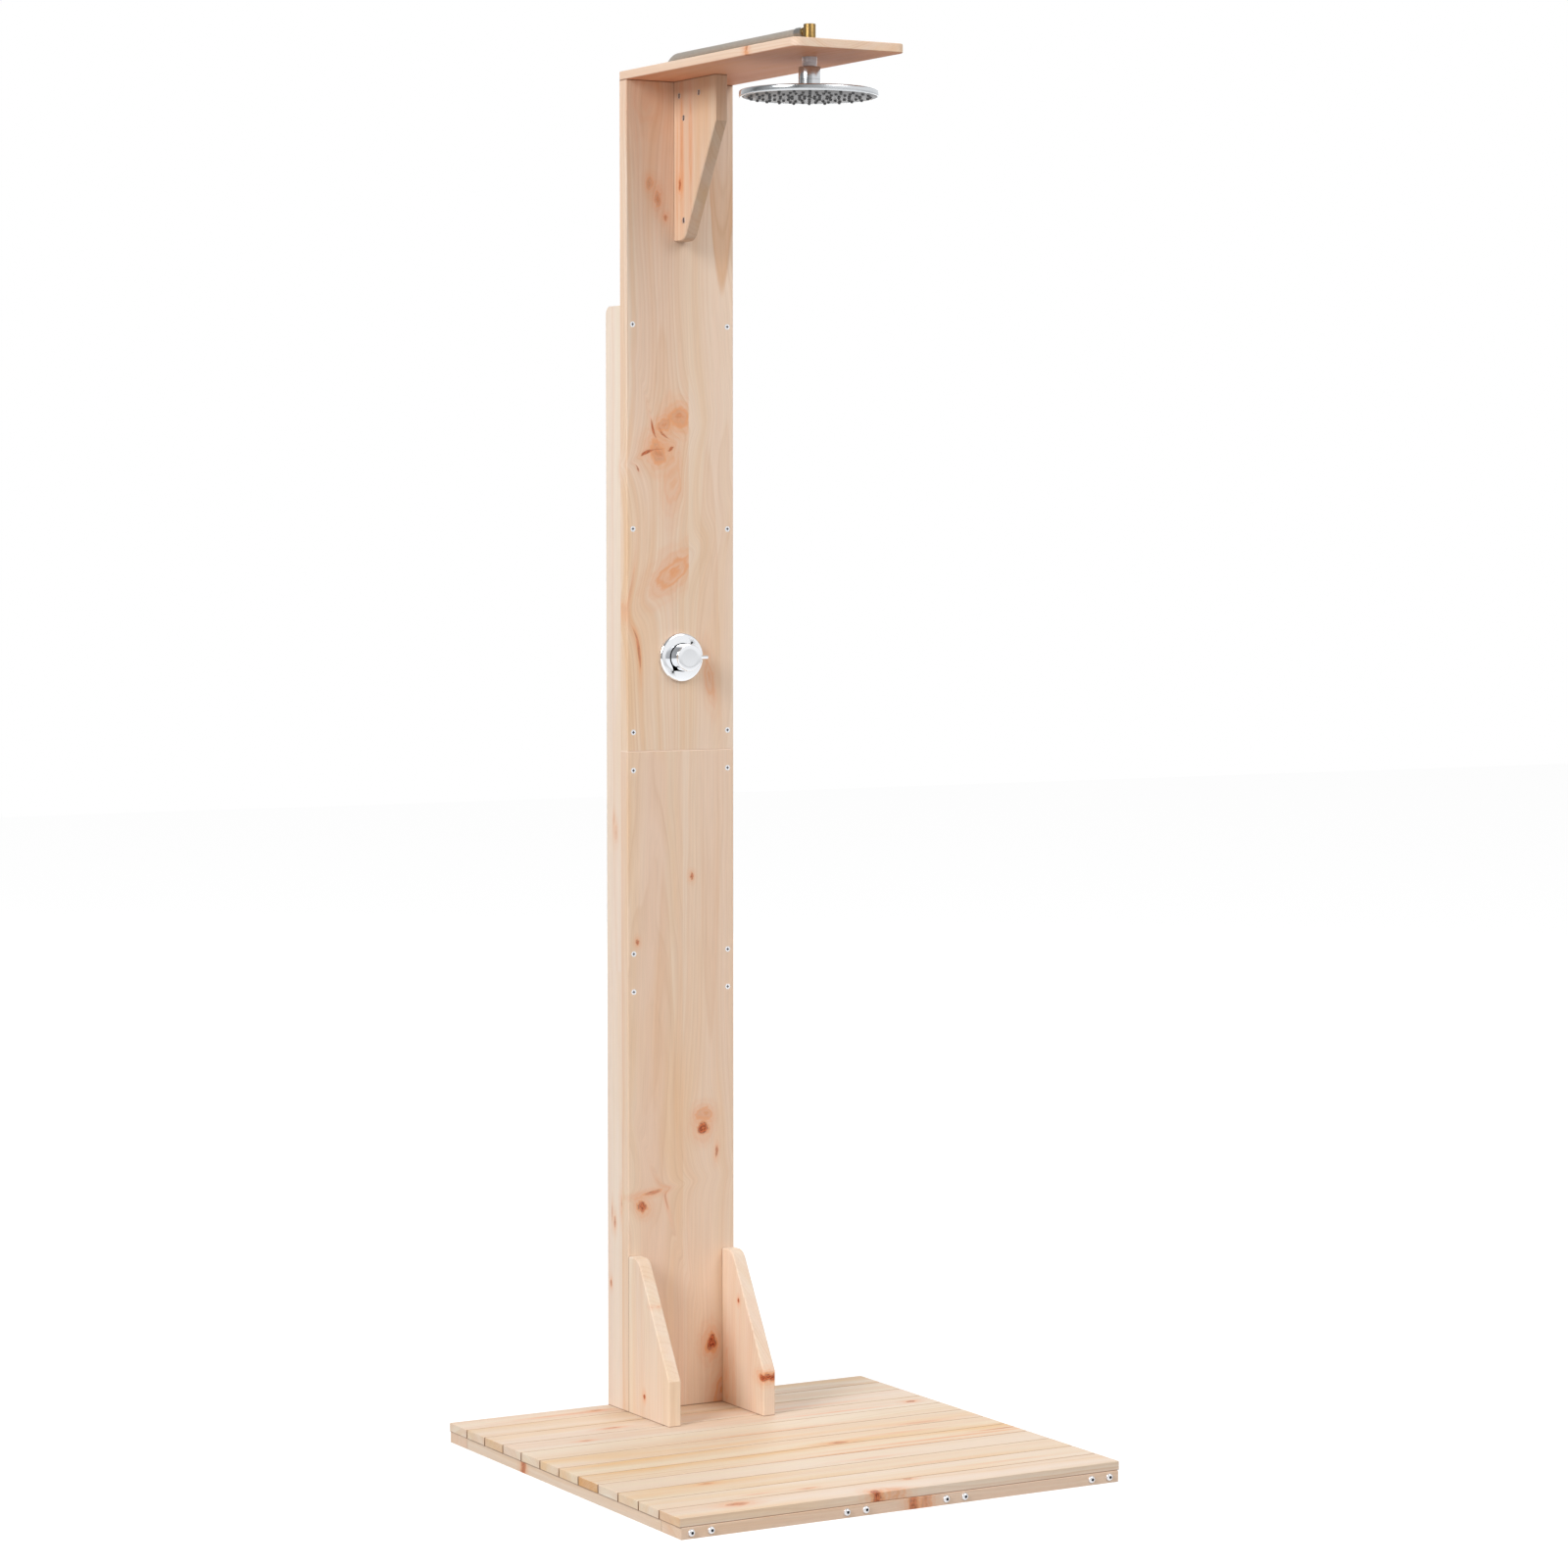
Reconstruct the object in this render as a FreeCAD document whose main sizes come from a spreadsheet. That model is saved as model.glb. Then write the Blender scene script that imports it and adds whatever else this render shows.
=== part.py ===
import FreeCAD, Part
import math
import os
import re
from Sketcher import Constraint

# An outdoor shower post in pine: a slatted standing platform, a two-board column stiffened by
# battens and gussets, a cantilevered arm, a braided hose, a stick-lever valve and a rain head.
# Frame: millimetres, +X right, +Y back, +Z up; the origin is on the floor at the platform's centre.

# ------------------------------------------------------------------ driving dimensions
SIZES = {
    # platform
    "deckWidth": 700, "deckDepth": 700, "slatCount": 12, "slatGap": 3, "slatThick": 12.5,
    "slatEdge": 0.8, "frameHeight": 16.5, "railDepth": 56, "railInset": 2, "railProud": 1.3,
    "railEdge": 1.2, "beamWidth": 60, "boltPitch": 30, "nutSetback": 18,
    # column
    "boardWidth": 178, "boardThick": 20, "boardLength": 977, "boardEdge": 1,
    "battenWidth": 20, "battenDepth": 45, "lowerBatten": 651, "battenRound": 12,
    "screwSetback": 28,
    # gussets, the same for the two at the foot and the one under the arm
    "gussetThick": 20, "gussetDepth": 124.5, "gussetRise": 232, "gussetNose": 66, "gussetTop": 30,
    "gussetRound": 20, "gussetEdge": 1.5, "footScrewLow": 60, "footScrewHigh": 170,
    # arm
    "armLength": 505, "armThick": 12.5, "armRound": 12, "armEdge": 1, "armScrewPitch": 120,
    "armNutDrop": 22, "armNutNear": 16, "armNutFar": 75, "bracketNutIn": 29,
    "bracketNutHigh": 55, "bracketNutLow": 203,
    # bolts, barrel nuts and wood screws
    "boltShank": 6, "boltHead": 10.5, "boltHeadThick": 3.3, "boltPast": 4, "nutRound": 10,
    "nutLong": 14, "boardScrew": 4.5, "boardScrewHead": 9, "boardScrewLong": 50, "longScrew": 5,
    "longScrewHead": 10, "longScrewLong": 80, "longScrewSink": 15,
    # water way through the arm
    "headReach": 110, "pipeThread": 20.955, "pipeBore": 13, "threadFit": 0.1, "nippleRise": 8,
    "lockNutAcross": 27, "lockNutThick": 6, "elbowRound": 17, "elbowTop": 33, "hoseLift": 24,
    "portBoss": 12, "portReach": 11,
    # swivel joint of the head
    "collarRound": 31, "collarDrop": 13.5, "collarLength": 25, "collarLip": 2, "collarMouth": 18,
    "collarEdge": 1.2, "ringRound": 25, "ringThick": 6, "ballRound": 17, "ballFit": 0.05,
    "seatThick": 2.5, "seatHole": 8, "stemRound": 9, "stemNutRound": 18, "stemNutThick": 4,
    "stemBore": 5, "seatAngle": 35,
    # rain head
    "headBelow": 55, "headRound": 196, "headHeight": 9, "headWall": 1.5, "headTopEdge": 3,
    "plateInset": 4, "plateThick": 2.5, "nozzleRound": 4.6, "nozzleTip": 3, "nozzleLong": 2.5,
    "nozzleRing": 14,
    # hose
    "hoseRound": 12, "hoseBend": 40, "channelPlace": 22.5, "ferruleRound": 14, "ferruleLong": 18,
    "tailAcross": 12, "tailHex": 5, "tailNeck": 10, "unionAcross": 25, "unionLong": 18,
    "unionCap": 3, "tailShow": 1.5, "sealThick": 2,
    # valve
    "valveAboveJoint": 137, "neckRound": 34, "neckProud": 4.5, "neckHole": 36, "flangeRound": 48,
    "flangeThick": 4, "gasketThick": 1.5, "barrelBack": 61, "stubReach": 34, "stubThread": 14,
    "stubAcross": 24, "stubBore": 11, "coverRound": 72, "coverDepth": 5.5, "coverLip": 2,
    "discRound": 24, "fixedDisc": 4, "movingDisc": 3, "discSeat": 36, "portRound": 6,
    "portPitch": 11, "cartridgeRound": 26, "retainerLong": 5, "spindleRound": 10, "tangLong": 8,
    "tangWide": 3, "tangDeep": 1.5, "turnFit": 0.05, "capRound": 40, "capGap": 1, "capFace": 28,
    "capWall": 2.5, "capEdge": 1.2, "leverRound": 6, "leverPlace": 16.5, "leverReach": 36,
}

# Lengths that follow from the driving dimensions.
DERIVED = {
    "deckTop": "frameHeight + slatThick",
    "halfDepth": "deckDepth / 2",
    "slatDepth": "(deckDepth - (slatCount - 1) * slatGap) / slatCount",
    "slatPitch": "slatDepth + slatGap",
    "railLength": "deckWidth - 2 * railInset",
    "railFront": "halfDepth + railProud",
    "railInner": "railFront - railDepth",
    "outerBeam": "(railLength - beamWidth) / 2",
    "innerBeam": "(boardWidth - battenWidth) / 2",
    "boltMiddle": "frameHeight / 2",
    "boardBack": "halfDepth - battenDepth",
    "boardFront": "boardBack - boardThick",
    "boardJoint": "deckTop + boardLength",
    "armBottom": "boardJoint + boardLength",
    "armTop": "armBottom + armThick",
    "battenJoint": "deckTop + lowerBatten",
    "battenTop": "battenJoint + boardLength",
    "armFront": "boardBack - armLength",
    "headY": "armFront + headReach",
    "nippleTop": "armTop + nippleRise",
    "collarTop": "armBottom - collarDrop",
    "collarEnd": "collarTop - collarLength",
    "ringEnd": "collarEnd + collarLip",
    "ballZ": "ringEnd + ringThick",
    "ballSeat": "ballRound / 2 + ballFit",
    "seatEnd": "ballZ + sqrt(ballSeat * ballSeat - seatHole * seatHole / 4)",
    "nippleEnd": "seatEnd + seatThick",
    "headBottom": "armBottom - headBelow",
    "headTop": "headBottom + headHeight",
    "hoseY": "boardBack + channelPlace",
    "hoseZ": "armTop + hoseLift",
    "elbowPort": "headY + portReach",
    "hoseStart": "elbowPort + tailHex + ferruleLong",
    "valveZ": "boardJoint + valveAboveJoint",
    "stubEnd": "valveZ + stubReach",
    "unionEnd": "stubEnd + sealThick + sealThick + unionCap",
    "hoseEnd": "unionEnd + tailShow + ferruleLong",
}

SHEET = "Sizes"
WORD = re.compile(r"[A-Za-z]\w*")

doc = FreeCAD.newDocument("OutdoorShowerPost")
sheet = doc.addObject("Spreadsheet::Sheet", SHEET)
for row, (name, size) in enumerate(SIZES.items(), 1):
    sheet.set("A%d" % row, name)
    sheet.set("B%d" % row, str(size))
    sheet.setAlias("B%d" % row, name)
doc.recompute()

nodes = []


# ------------------------------------------------------------------ shared building steps
def spell(text):
    # A length in plain names, written out in the size sheet's cells.
    def word(match):
        name = match.group(0)
        if name in DERIVED:
            return "(" + spell(DERIVED[name]) + ")"
        return SHEET + "." + name if name in SIZES else name
    return WORD.sub(word, text)


def bind(thing, prop, text):
    thing.setExpression(prop, spell(text))


def place(thing, spot, turn=None):
    # Puts a piece at a spot given as three lengths, after an optional (axis, degrees) turn.
    if turn:
        thing.Placement = FreeCAD.Placement(FreeCAD.Vector(), FreeCAD.Rotation(*turn))
    for axis, text in zip("xyz", spot):
        bind(thing, ".Placement.Base." + axis, text)
    return thing


def node(name, thing):
    # The finished piece takes its node's name.
    thing.Label = name
    nodes.append(thing)
    return thing


def newBody(name):
    return doc.addObject("PartDesign::Body", name)


def outline(body, role, corners):
    # A closed straight-sided sketch. Its corners start on a plain ring, and each is then tied to
    # the sheet by two dimensions.
    sketch = body.newObject("Sketcher::SketchObject", body.Name + "Outline")
    plane = [o for o in body.Origin.OriginFeatures if o.Role == role][0]
    sketch.AttachmentSupport = [(plane, "")]
    sketch.MapMode = "FlatFace"
    count = len(corners)
    spots = [FreeCAD.Vector(math.cos(2 * math.pi * k / count), math.sin(2 * math.pi * k / count), 0)
             for k in range(count)]
    for k in range(count):
        sketch.addGeometry(Part.LineSegment(spots[k], spots[(k + 1) % count]), False)
    for k in range(count):
        sketch.addConstraint(Constraint("Coincident", k, 2, (k + 1) % count, 1))
    for k, corner in enumerate(corners):
        for kind, text, at in zip(("DistanceX", "DistanceY"), corner, spots[k]):
            tie = sketch.addConstraint(Constraint(kind, -1, 1, k, 1, at))
            bind(sketch, "Constraints[%d]" % tie, text)
    return sketch


def padded(name, role, corners, length):
    # A flat outline thickened along its plane's normal.
    body = newBody(name)
    pad = body.newObject("PartDesign::Pad", name + "Pad")
    pad.Profile = outline(body, role, corners)
    bind(pad, "Length", length)
    body.Tip = pad
    body.recompute(True)
    return body


def eased(body, kind, size, chosen):
    # Fillets or chamfers the edges of the body that the test picks.
    last = body.Tip
    names = ["Edge%d" % k for k, edge in enumerate(last.Shape.Edges, 1) if chosen(edge)]
    ease = body.newObject("PartDesign::" + kind, body.Name + kind)
    ease.Base = (last, names)
    bind(ease, "Radius" if kind == "Fillet" else "Size", size)
    body.Tip = ease
    body.recompute(True)
    return body


def plank(name, length, depth, height):
    # A square-cut board, centred on X and Y and standing on its own base plane.
    halfLength = "(" + length + ") / 2"
    halfDepth = "(" + depth + ") / 2"
    corners = [("-" + halfLength, "-" + halfDepth), (halfLength, "-" + halfDepth),
               (halfLength, halfDepth), ("-" + halfLength, halfDepth)]
    return padded(name, "XY_Plane", corners, height)


def topEdges(body):
    # A test for the edges of the body's top face.
    top = body.Shape.BoundBox.ZMax
    return lambda edge: edge.BoundBox.ZMin > top - 1e-4


def cylinder(name, radius, height, spot, turn=None):
    rod = doc.addObject("Part::Cylinder", name)
    bind(rod, "Radius", radius)
    bind(rod, "Height", height)
    return place(rod, spot, turn)


def stacked(name, sides, rings):
    # A small many-sided fastener shape, lofted straight through rings of (radius, height).
    sections = []
    for k, (radius, height) in enumerate(rings):
        ring = doc.addObject("Part::RegularPolygon", "%sRing%d" % (name, k))
        ring.Polygon = sides
        bind(ring, "Circumradius", radius)
        sections.append(place(ring, ("0", "0", height)))
    loft = doc.addObject("Part::Loft", name)
    loft.Sections = sections
    loft.Solid = True
    loft.Ruled = True
    loft.Linearize = True
    return loft


def cleared(radius, sides):
    # The corner radius of a many-sided way whose flats just clear a round piece.
    return "(%s) / cos(180 / %d)" % (radius, sides)


def stepped(name, sides, steps):
    # A stepped many-sided solid from (radius, foot, top) prisms set end to end.
    blocks = []
    for k, (radius, foot, top) in enumerate(steps):
        block = doc.addObject("Part::Prism", "%sStep%d" % (name, k))
        block.Polygon = sides
        bind(block, "Circumradius", radius)
        bind(block, "Height", "(%s) - (%s)" % (top, foot))
        blocks.append(place(block, ("0", "0", foot)))
    return joined(name, blocks) if len(blocks) > 1 else blocks[0]


def ringed(name, sides, outer, inner, thick):
    # A flat ring: a nut, washer or disc, whose way clears the inner radius.
    blank = stepped(name + "Blank", sides, [(outer, "0", thick)])
    way = stepped(name + "Way", 12, [(cleared(inner, 12), "0", thick)])
    return cut(name, blank, [way])


def joined(name, pieces):
    fuse = doc.addObject("Part::MultiFuse", name)
    fuse.Shapes = pieces
    return fuse


def gathered(name, pieces):
    group = doc.addObject("Part::Compound", name)
    group.Links = pieces
    return group


def spread(name, piece, spots, turn=None):
    # Repeats one piece at each spot, as a group of separate solids.
    copies = []
    for k, spot in enumerate(spots):
        copy = doc.addObject("App::Link", "%sCopy%d" % (name, k))
        copy.LinkedObject = piece
        copies.append(place(copy, spot, turn))
    return gathered(name, copies)


def cut(name, base, tools):
    # Takes every tool out of the base; the holes so have the size and place of what fills them.
    result = doc.addObject("Part::Cut", name)
    result.Base = base
    result.Tool = tools[0] if len(tools) == 1 else gathered(name + "Tools", tools)
    return result


X_AXIS = FreeCAD.Vector(1, 0, 0)
Y_AXIS = FreeCAD.Vector(0, 1, 0)
TO_FRONT = (X_AXIS, 90)     # a fastener's head, modelled facing up, turned to face -Y
TO_BACK = (X_AXIS, -90)     # the same, turned to face +Y
TO_FLOOR = (X_AXIS, 180)    # the same, turned to face the floor
TO_RIGHT = (Y_AXIS, 90)     # an upright piece laid down to point along +X


# ------------------------------------------------------------------ fasteners
# Each is modelled with its head's top at the origin, head up and tip down.
def woodScrew(name, shank, head, long):
    taper = "((%s) - (%s)) / 2" % (head, shank)
    return stacked(name, 6, [(head + " / 2", "0"), (shank + " / 2", "-" + taper),
                             (shank + " / 2", "-(" + long + ")")])


def buttonBolt(name, long):
    # The head stands above the origin plane, so that the shank's length is the grip.
    head = stacked(name + "Head", 6, [("boltHead / 3", "boltHeadThick"), ("boltHead / 2", "0")])
    shank = stacked(name + "Shank", 6, [("boltShank / 2", "0"), ("boltShank / 2", "-(" + long + ")")])
    return joined(name, [head, shank])


boardScrew = woodScrew("BoardScrew", "boardScrew", "boardScrewHead", "boardScrewLong")
longScrew = woodScrew("LongScrew", "longScrew", "longScrewHead", "longScrewLong")
frameBolt = buttonBolt("FrameBolt", "railDepth + nutSetback + boltPast")
armBolt = buttonBolt("ArmBolt", "armThick + armNutDrop + boltPast")
panelBolt = buttonBolt("PanelBolt", "boardThick + bracketNutIn + boltPast")
barrelNut = stacked("BarrelNut", 6, [("nutRound / 2", "-nutLong / 2"), ("nutRound / 2", "nutLong / 2")])
barrelHole = stacked("BarrelHole", 6, [("nutRound / 2", "-frameHeight"), ("nutRound / 2", "nutLong / 2")])
screwSink = stacked("ScrewSink", 6, [("longScrewHead / 2", "0"), ("longScrewHead / 2", "longScrewSink + 1")])

# Frame bolts come in pairs, one pair to each end of each of the four beams.
beamPlaces = ["-outerBeam", "-innerBeam", "innerBeam", "outerBeam"]
boltPlaces = ["%s %s boltPitch / 2" % (at, side) for at in beamPlaces for side in "-+"]
frontBolts = spread("FrontBolts", frameBolt, [(x, "-railFront", "boltMiddle") for x in boltPlaces],
                    TO_FRONT)
backBolts = spread("BackBolts", frameBolt, [(x, "railFront", "boltMiddle") for x in boltPlaces], TO_BACK)
frameBolts = node("frame_bolts", gathered("FrameBolts", [frontBolts, backBolts]))
nutSpots = [(x, side + "(railInner - nutSetback)", "boltMiddle") for x in boltPlaces for side in "-+"]
frameNutHoles = spread("FrameNutHoles", barrelHole, nutSpots)

# Two bolts hold the arm down onto its bracket, two more hold the bracket to the column.
armBoltSpots = [("0", "boardFront - " + y, "armTop") for y in ("armNutNear", "armNutFar")]
armBolts = spread("ArmBolts", armBolt, armBoltSpots)
panelBoltSpots = [("0", "boardBack", "armBottom - " + drop) for drop in ("bracketNutHigh", "bracketNutLow")]
panelBolts = spread("PanelBolts", panelBolt, panelBoltSpots, TO_BACK)
bracketBolts = node("bracket_bolts", gathered("BracketBolts", [armBolts, panelBolts]))
nutSide = "-(gussetThick - nutLong) / 2"    # flush with the left face of the bracket
bracketNutSpots = [(nutSide, "boardFront - " + y, "armBottom - armNutDrop") for y in ("armNutNear", "armNutFar")]
bracketNutSpots += [(nutSide, "boardFront - bracketNutIn", "armBottom - " + drop)
                    for drop in ("bracketNutHigh", "bracketNutLow")]
bracketNutHoles = spread("BracketNutHoles", barrelHole, bracketNutSpots, TO_RIGHT)

plainNuts = gathered("PlainNuts", [spread("FrameNuts", barrelNut, nutSpots),
                                   spread("BracketNuts", barrelNut, bracketNutSpots, TO_RIGHT)])
barrelNuts = node("barrel_nuts", cut("BarrelNuts", plainNuts, [frameBolts, bracketBolts]))

# Countersunk screws from the front hold the boards to the battens; two more hold the arm down.
screwRows = ["battenTop - screwSetback", "(battenTop + boardJoint) / 2", "boardJoint + screwSetback",
             "boardJoint - screwSetback", "battenJoint + screwSetback", "battenJoint - screwSetback"]
rowSpots = [(side + "innerBeam", "boardFront", z) for z in screwRows for side in "-+"]
rowScrews = spread("RowScrews", boardScrew, rowSpots, TO_FRONT)
armScrewSpots = [(side + "armScrewPitch / 2", "boardBack - boardThick / 2", "armTop") for side in "-+"]
armScrews = spread("ArmScrews", boardScrew, armScrewSpots)
boardScrews = node("board_screws", gathered("BoardScrews", [rowScrews, armScrews]))

# Long screws come up through the inner beams and the middles of the last three slats into the
# gussets and battens, and forward through the battens and the board into the foot gussets.
footY = ["halfDepth + slatGap / 2 - %.1f * slatPitch" % back for back in (2.5, 1.5, 0.5)]
footScrews = spread("FootScrews", longScrew, [(side + "innerBeam", y, "0") for y in footY for side in "-+"],
                    TO_FLOOR)
rearSpots = [(side + "innerBeam", "halfDepth - longScrewSink", "deckTop + " + z)
             for z in ("footScrewLow", "footScrewHigh") for side in "-+"]
rearScrews = spread("RearScrews", longScrew, rearSpots, TO_BACK)
rearSinks = spread("RearSinks", screwSink, rearSpots, TO_BACK)
longScrews = node("long_screws", gathered("LongScrews", [footScrews, rearScrews]))

# ------------------------------------------------------------------ platform
for k in range(SIZES["slatCount"]):
    slat = plank("Slat%02d" % (k + 1), "deckWidth", "slatDepth", "slatThick")
    eased(slat, "Chamfer", "slatEdge", topEdges(slat))
    place(slat, ("0", "-halfDepth + slatDepth / 2 + %d * slatPitch" % k, "frameHeight"))
    node("slat_%02d" % (k + 1), cut("Slat%02dDrilled" % (k + 1), slat, [footScrews]))

for name, side in (("front_rail", "-"), ("back_rail", "")):
    rail = plank("Rail" + name, "railLength", "railDepth", "frameHeight")
    eased(rail, "Chamfer", "railEdge", topEdges(rail))
    place(rail, ("0", side + "(railFront - railDepth / 2)", "0"))
    bolts = frontBolts if name == "front_rail" else backBolts
    node(name, cut("RailDrilled" + name, rail, [bolts, footScrews]))

beamNames = ["left_outer_beam", "left_inner_beam", "right_inner_beam", "right_outer_beam"]
for name, x in zip(beamNames, beamPlaces):
    beam = plank("Beam" + name, "beamWidth", "2 * railInner", "frameHeight")
    place(beam, (x, "0", "0"))
    node(name, cut("BeamDrilled" + name, beam, [frameBolts, frameNutHoles, footScrews]))

# ------------------------------------------------------------------ column
neckWay = stepped("NeckWay", 24, [("neckHole / 2", "-boardThick", "boardThick")])
place(neckWay, ("0", "boardBack", "valveZ"), TO_FRONT)
for name, z in (("lower_board", "deckTop"), ("upper_board", "boardJoint")):
    board = plank("Board" + name, "boardWidth", "boardThick", "boardLength")
    eased(board, "Chamfer", "boardEdge", lambda edge: edge.BoundBox.YMax < board.Shape.BoundBox.YMin + 1e-4)
    place(board, ("0", "boardFront + boardThick / 2", z))
    node(name, cut("BoardDrilled" + name, board, [boardScrews, longScrews, panelBolts, neckWay]))

for side, sign in (("left", "-"), ("right", "")):
    for level, z, long in (("lower", "deckTop", "lowerBatten"), ("upper", "battenJoint", "boardLength")):
        name = "%s_%s_batten" % (side, level)
        batten = plank("Batten" + name, "battenWidth", "battenDepth", long)
        if level == "upper":
            box = batten.Shape.BoundBox
            eased(batten, "Fillet", "battenRound",
                  lambda edge: edge.BoundBox.YMin > box.YMax - 1e-4 and edge.BoundBox.ZMin > box.ZMax - 1e-4)
        place(batten, (sign + "innerBeam", "boardBack + battenDepth / 2", z))
        node(name, cut("BattenDrilled" + name, batten, [boardScrews, longScrews, rearSinks]))


# ------------------------------------------------------------------ gussets and arm
def gusset(name):
    # The side shape, seen from the left: upright nose, long slope, short top, back edge at the column.
    corners = [("0", "0"), ("-gussetDepth", "0"), ("-gussetDepth", "gussetNose"),
               ("-gussetTop", "gussetRise"), ("0", "gussetRise")]
    body = padded(name, "YZ_Plane", corners, "gussetThick")

    def shoulder(edge):
        # The edge across the thickness where the slope meets the short top.
        box, whole = edge.BoundBox, body.Shape.BoundBox
        return box.YLength < 1e-4 and box.ZMin > whole.ZMax - 1e-4 and box.YMin < whole.YMax - 1e-4
    eased(body, "Fillet", "gussetRound", shoulder)

    def rounded(edge):
        # The front and sloping outlines of both faces; the seats at the back and foot stay sharp.
        box = edge.BoundBox
        return box.XLength < 1e-4 and box.ZMax > 1e-4 and box.YMin < -1e-4
    return eased(body, "Chamfer", "gussetEdge", rounded)


for name, x in (("left_gusset", "-boardWidth / 2"), ("right_gusset", "boardWidth / 2 - gussetThick")):
    foot = place(gusset("Foot" + name), (x, "boardFront", "deckTop"))
    node(name, cut("FootDrilled" + name, foot, [longScrews]))

hanging = gusset("ArmBracket")
hanging.Placement = FreeCAD.Placement(FreeCAD.Vector(), FreeCAD.Rotation(Y_AXIS, 180))
place(hanging, ("gussetThick / 2", "boardFront", "armBottom"))
node("arm_bracket", cut("ArmBracketDrilled", hanging, [bracketBolts, bracketNutHoles]))

arm = plank("Arm", "boardWidth", "armLength", "armThick")
eased(arm, "Fillet", "armRound", lambda edge: edge.BoundBox.ZLength > 1 and edge.BoundBox.YMax < 0)
armBox = arm.Shape.BoundBox
eased(arm, "Chamfer", "armEdge",
      lambda edge: edge.BoundBox.ZLength < 1e-4 and edge.BoundBox.YMin < armBox.YMax - 1e-4)
place(arm, ("0", "armFront + armLength / 2", "armBottom"))
threadWay = cleared("pipeThread / 2 + threadFit", 24)
nippleWay = place(stepped("NippleWay", 24, [(threadWay, "armBottom", "armTop")]), ("0", "headY", "armBottom"))
node("arm_board", cut("ArmDrilled", arm, [armScrews, armBolts, nippleWay]))

# ------------------------------------------------------------------ water way through the arm
pipe = "pipeThread / 2"
nippleRod = stepped("NippleRod", 24, [(pipe, "nippleEnd", "nippleTop")])
nippleBore = stepped("NippleBore", 12, [("pipeBore / 2", "nippleEnd", "nippleTop")])
node("threaded_nipple", place(cut("Nipple", nippleRod, [nippleBore]), ("0", "headY", "0")))

lockNut = ringed("LockNut", 6, "lockNutAcross / sqrt(3)", "pipeThread / 2 + threadFit", "lockNutThick")
node("lock_nut", place(lockNut, ("0", "headY", "armTop")))

# The brass elbow stands on the nipple with its port facing back.
elbowBlock = stepped("ElbowBlock", 24, [("elbowRound / 2", "nippleTop", "armTop + elbowTop")])
place(elbowBlock, ("0", "headY", "nippleTop"))
elbowBoss = stepped("ElbowBoss", 24, [("portBoss / 2", "0", "portReach")])
place(elbowBoss, ("0", "headY", "hoseZ"), TO_BACK)
node("brass_elbow", joined("BrassElbow", [elbowBlock, elbowBoss]))

# ------------------------------------------------------------------ swivel joint and rain head
collarBlank = stacked("CollarBlank", 24, [
    ("collarRound / 2", "collarEnd"), ("collarRound / 2", "collarTop - collarEdge"),
    ("collarRound / 2 - collarEdge", "collarTop")])
collarWays = stepped("CollarWays", 24, [
    ("collarMouth / 2", "collarEnd", "ringEnd"),
    (cleared("ringRound / 2 + threadFit", 24), "ringEnd", "nippleEnd"),
    (threadWay, "nippleEnd", "collarTop")])
node("collar_nut", place(cut("Collar", collarBlank, [collarWays]), ("0", "headY", "0")))

seat = ringed("SeatWasher", 12, "ringRound / 2", "seatHole / 2", "seatThick")
place(seat, ("0", "headY", "seatEnd"))

# The slip ring cradles the ball from below on a cone that meets the ball at the seat angle.
ringBlank = stepped("RingBlank", 24, [("ringRound / 2", "0", "ringThick")])
ringWay = stacked("RingWay", 24, [
    (cleared("(ballSeat - ringThick * sin(seatAngle)) / cos(seatAngle)", 24), "0"),
    (cleared("ballSeat / cos(seatAngle)", 24), "ringThick")])
node("slip_ring", place(cut("SlipRing", ringBlank, [ringWay]), ("0", "headY", "ringEnd")))

# The ball, its neck and the flange that seats on the head are one piece with a water way.
ballRings = [("ballRound / 2 * cos(%d)" % angle, "ballZ + ballRound / 2 * sin(%d)" % angle)
             for angle in (-58, -36, -12, 12, 36, 60)]
ball = stacked("Ball", 24, ballRings)
ballNeck = stepped("BallNeck", 24, [("stemNutRound / 2", "headTop", "headTop + stemNutThick"),
                                    ("stemRound / 2", "headTop + stemNutThick", "ballZ")])
ballWay = stepped("BallWay", 12, [("stemBore / 2", "headTop", "ballZ + ballRound / 2")])
ballStem = cut("BallStem", joined("BallSolid", [ball, ballNeck]), [ballWay])
node("ball_stem", place(ballStem, ("0", "headY", "0")))

# The head is a shallow pan turned upside down, closed by the spray plate.
rim = stacked("Rim", 48, [("headRound / 2", "headBottom"), ("headRound / 2", "headTop - headTopEdge / 2"),
                          ("headRound / 2 - headTopEdge", "headTop")])
hollow = stepped("Hollow", 48, [("headRound / 2 - plateInset", "headBottom", "headTop - headWall")])
stemHole = stepped("StemHole", 12, [("stemBore / 2", "headTop - headWall", "headTop")])
node("head_shell", place(cut("HeadShell", rim, [hollow, stemHole]), ("0", "headY", "0")))

plate = stepped("SprayPlate", 48, [("headRound / 2 - plateInset", "0", "plateThick")])
node("spray_plate", place(plate, ("0", "headY", "headBottom")))

nozzle = stacked("Nozzle", 4, [("nozzleRound / 2", "0"), ("nozzleTip / 2", "-nozzleLong")])
nozzleCounts = [6, 12, 12, 18, 24, 24]
nozzleSpots = []
for ring, count in enumerate(nozzleCounts, 1):
    for k in range(count):
        angle = 360 * (k + 0.5 * (ring % 2)) / count
        reach = "%d * nozzleRing" % ring
        nozzleSpots.append(("%s * cos(%.4f)" % (reach, angle),
                            "headY + %s * sin(%.4f)" % (reach, angle), "headBottom"))
node("nozzles", spread("Nozzles", nozzle, nozzleSpots))

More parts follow.
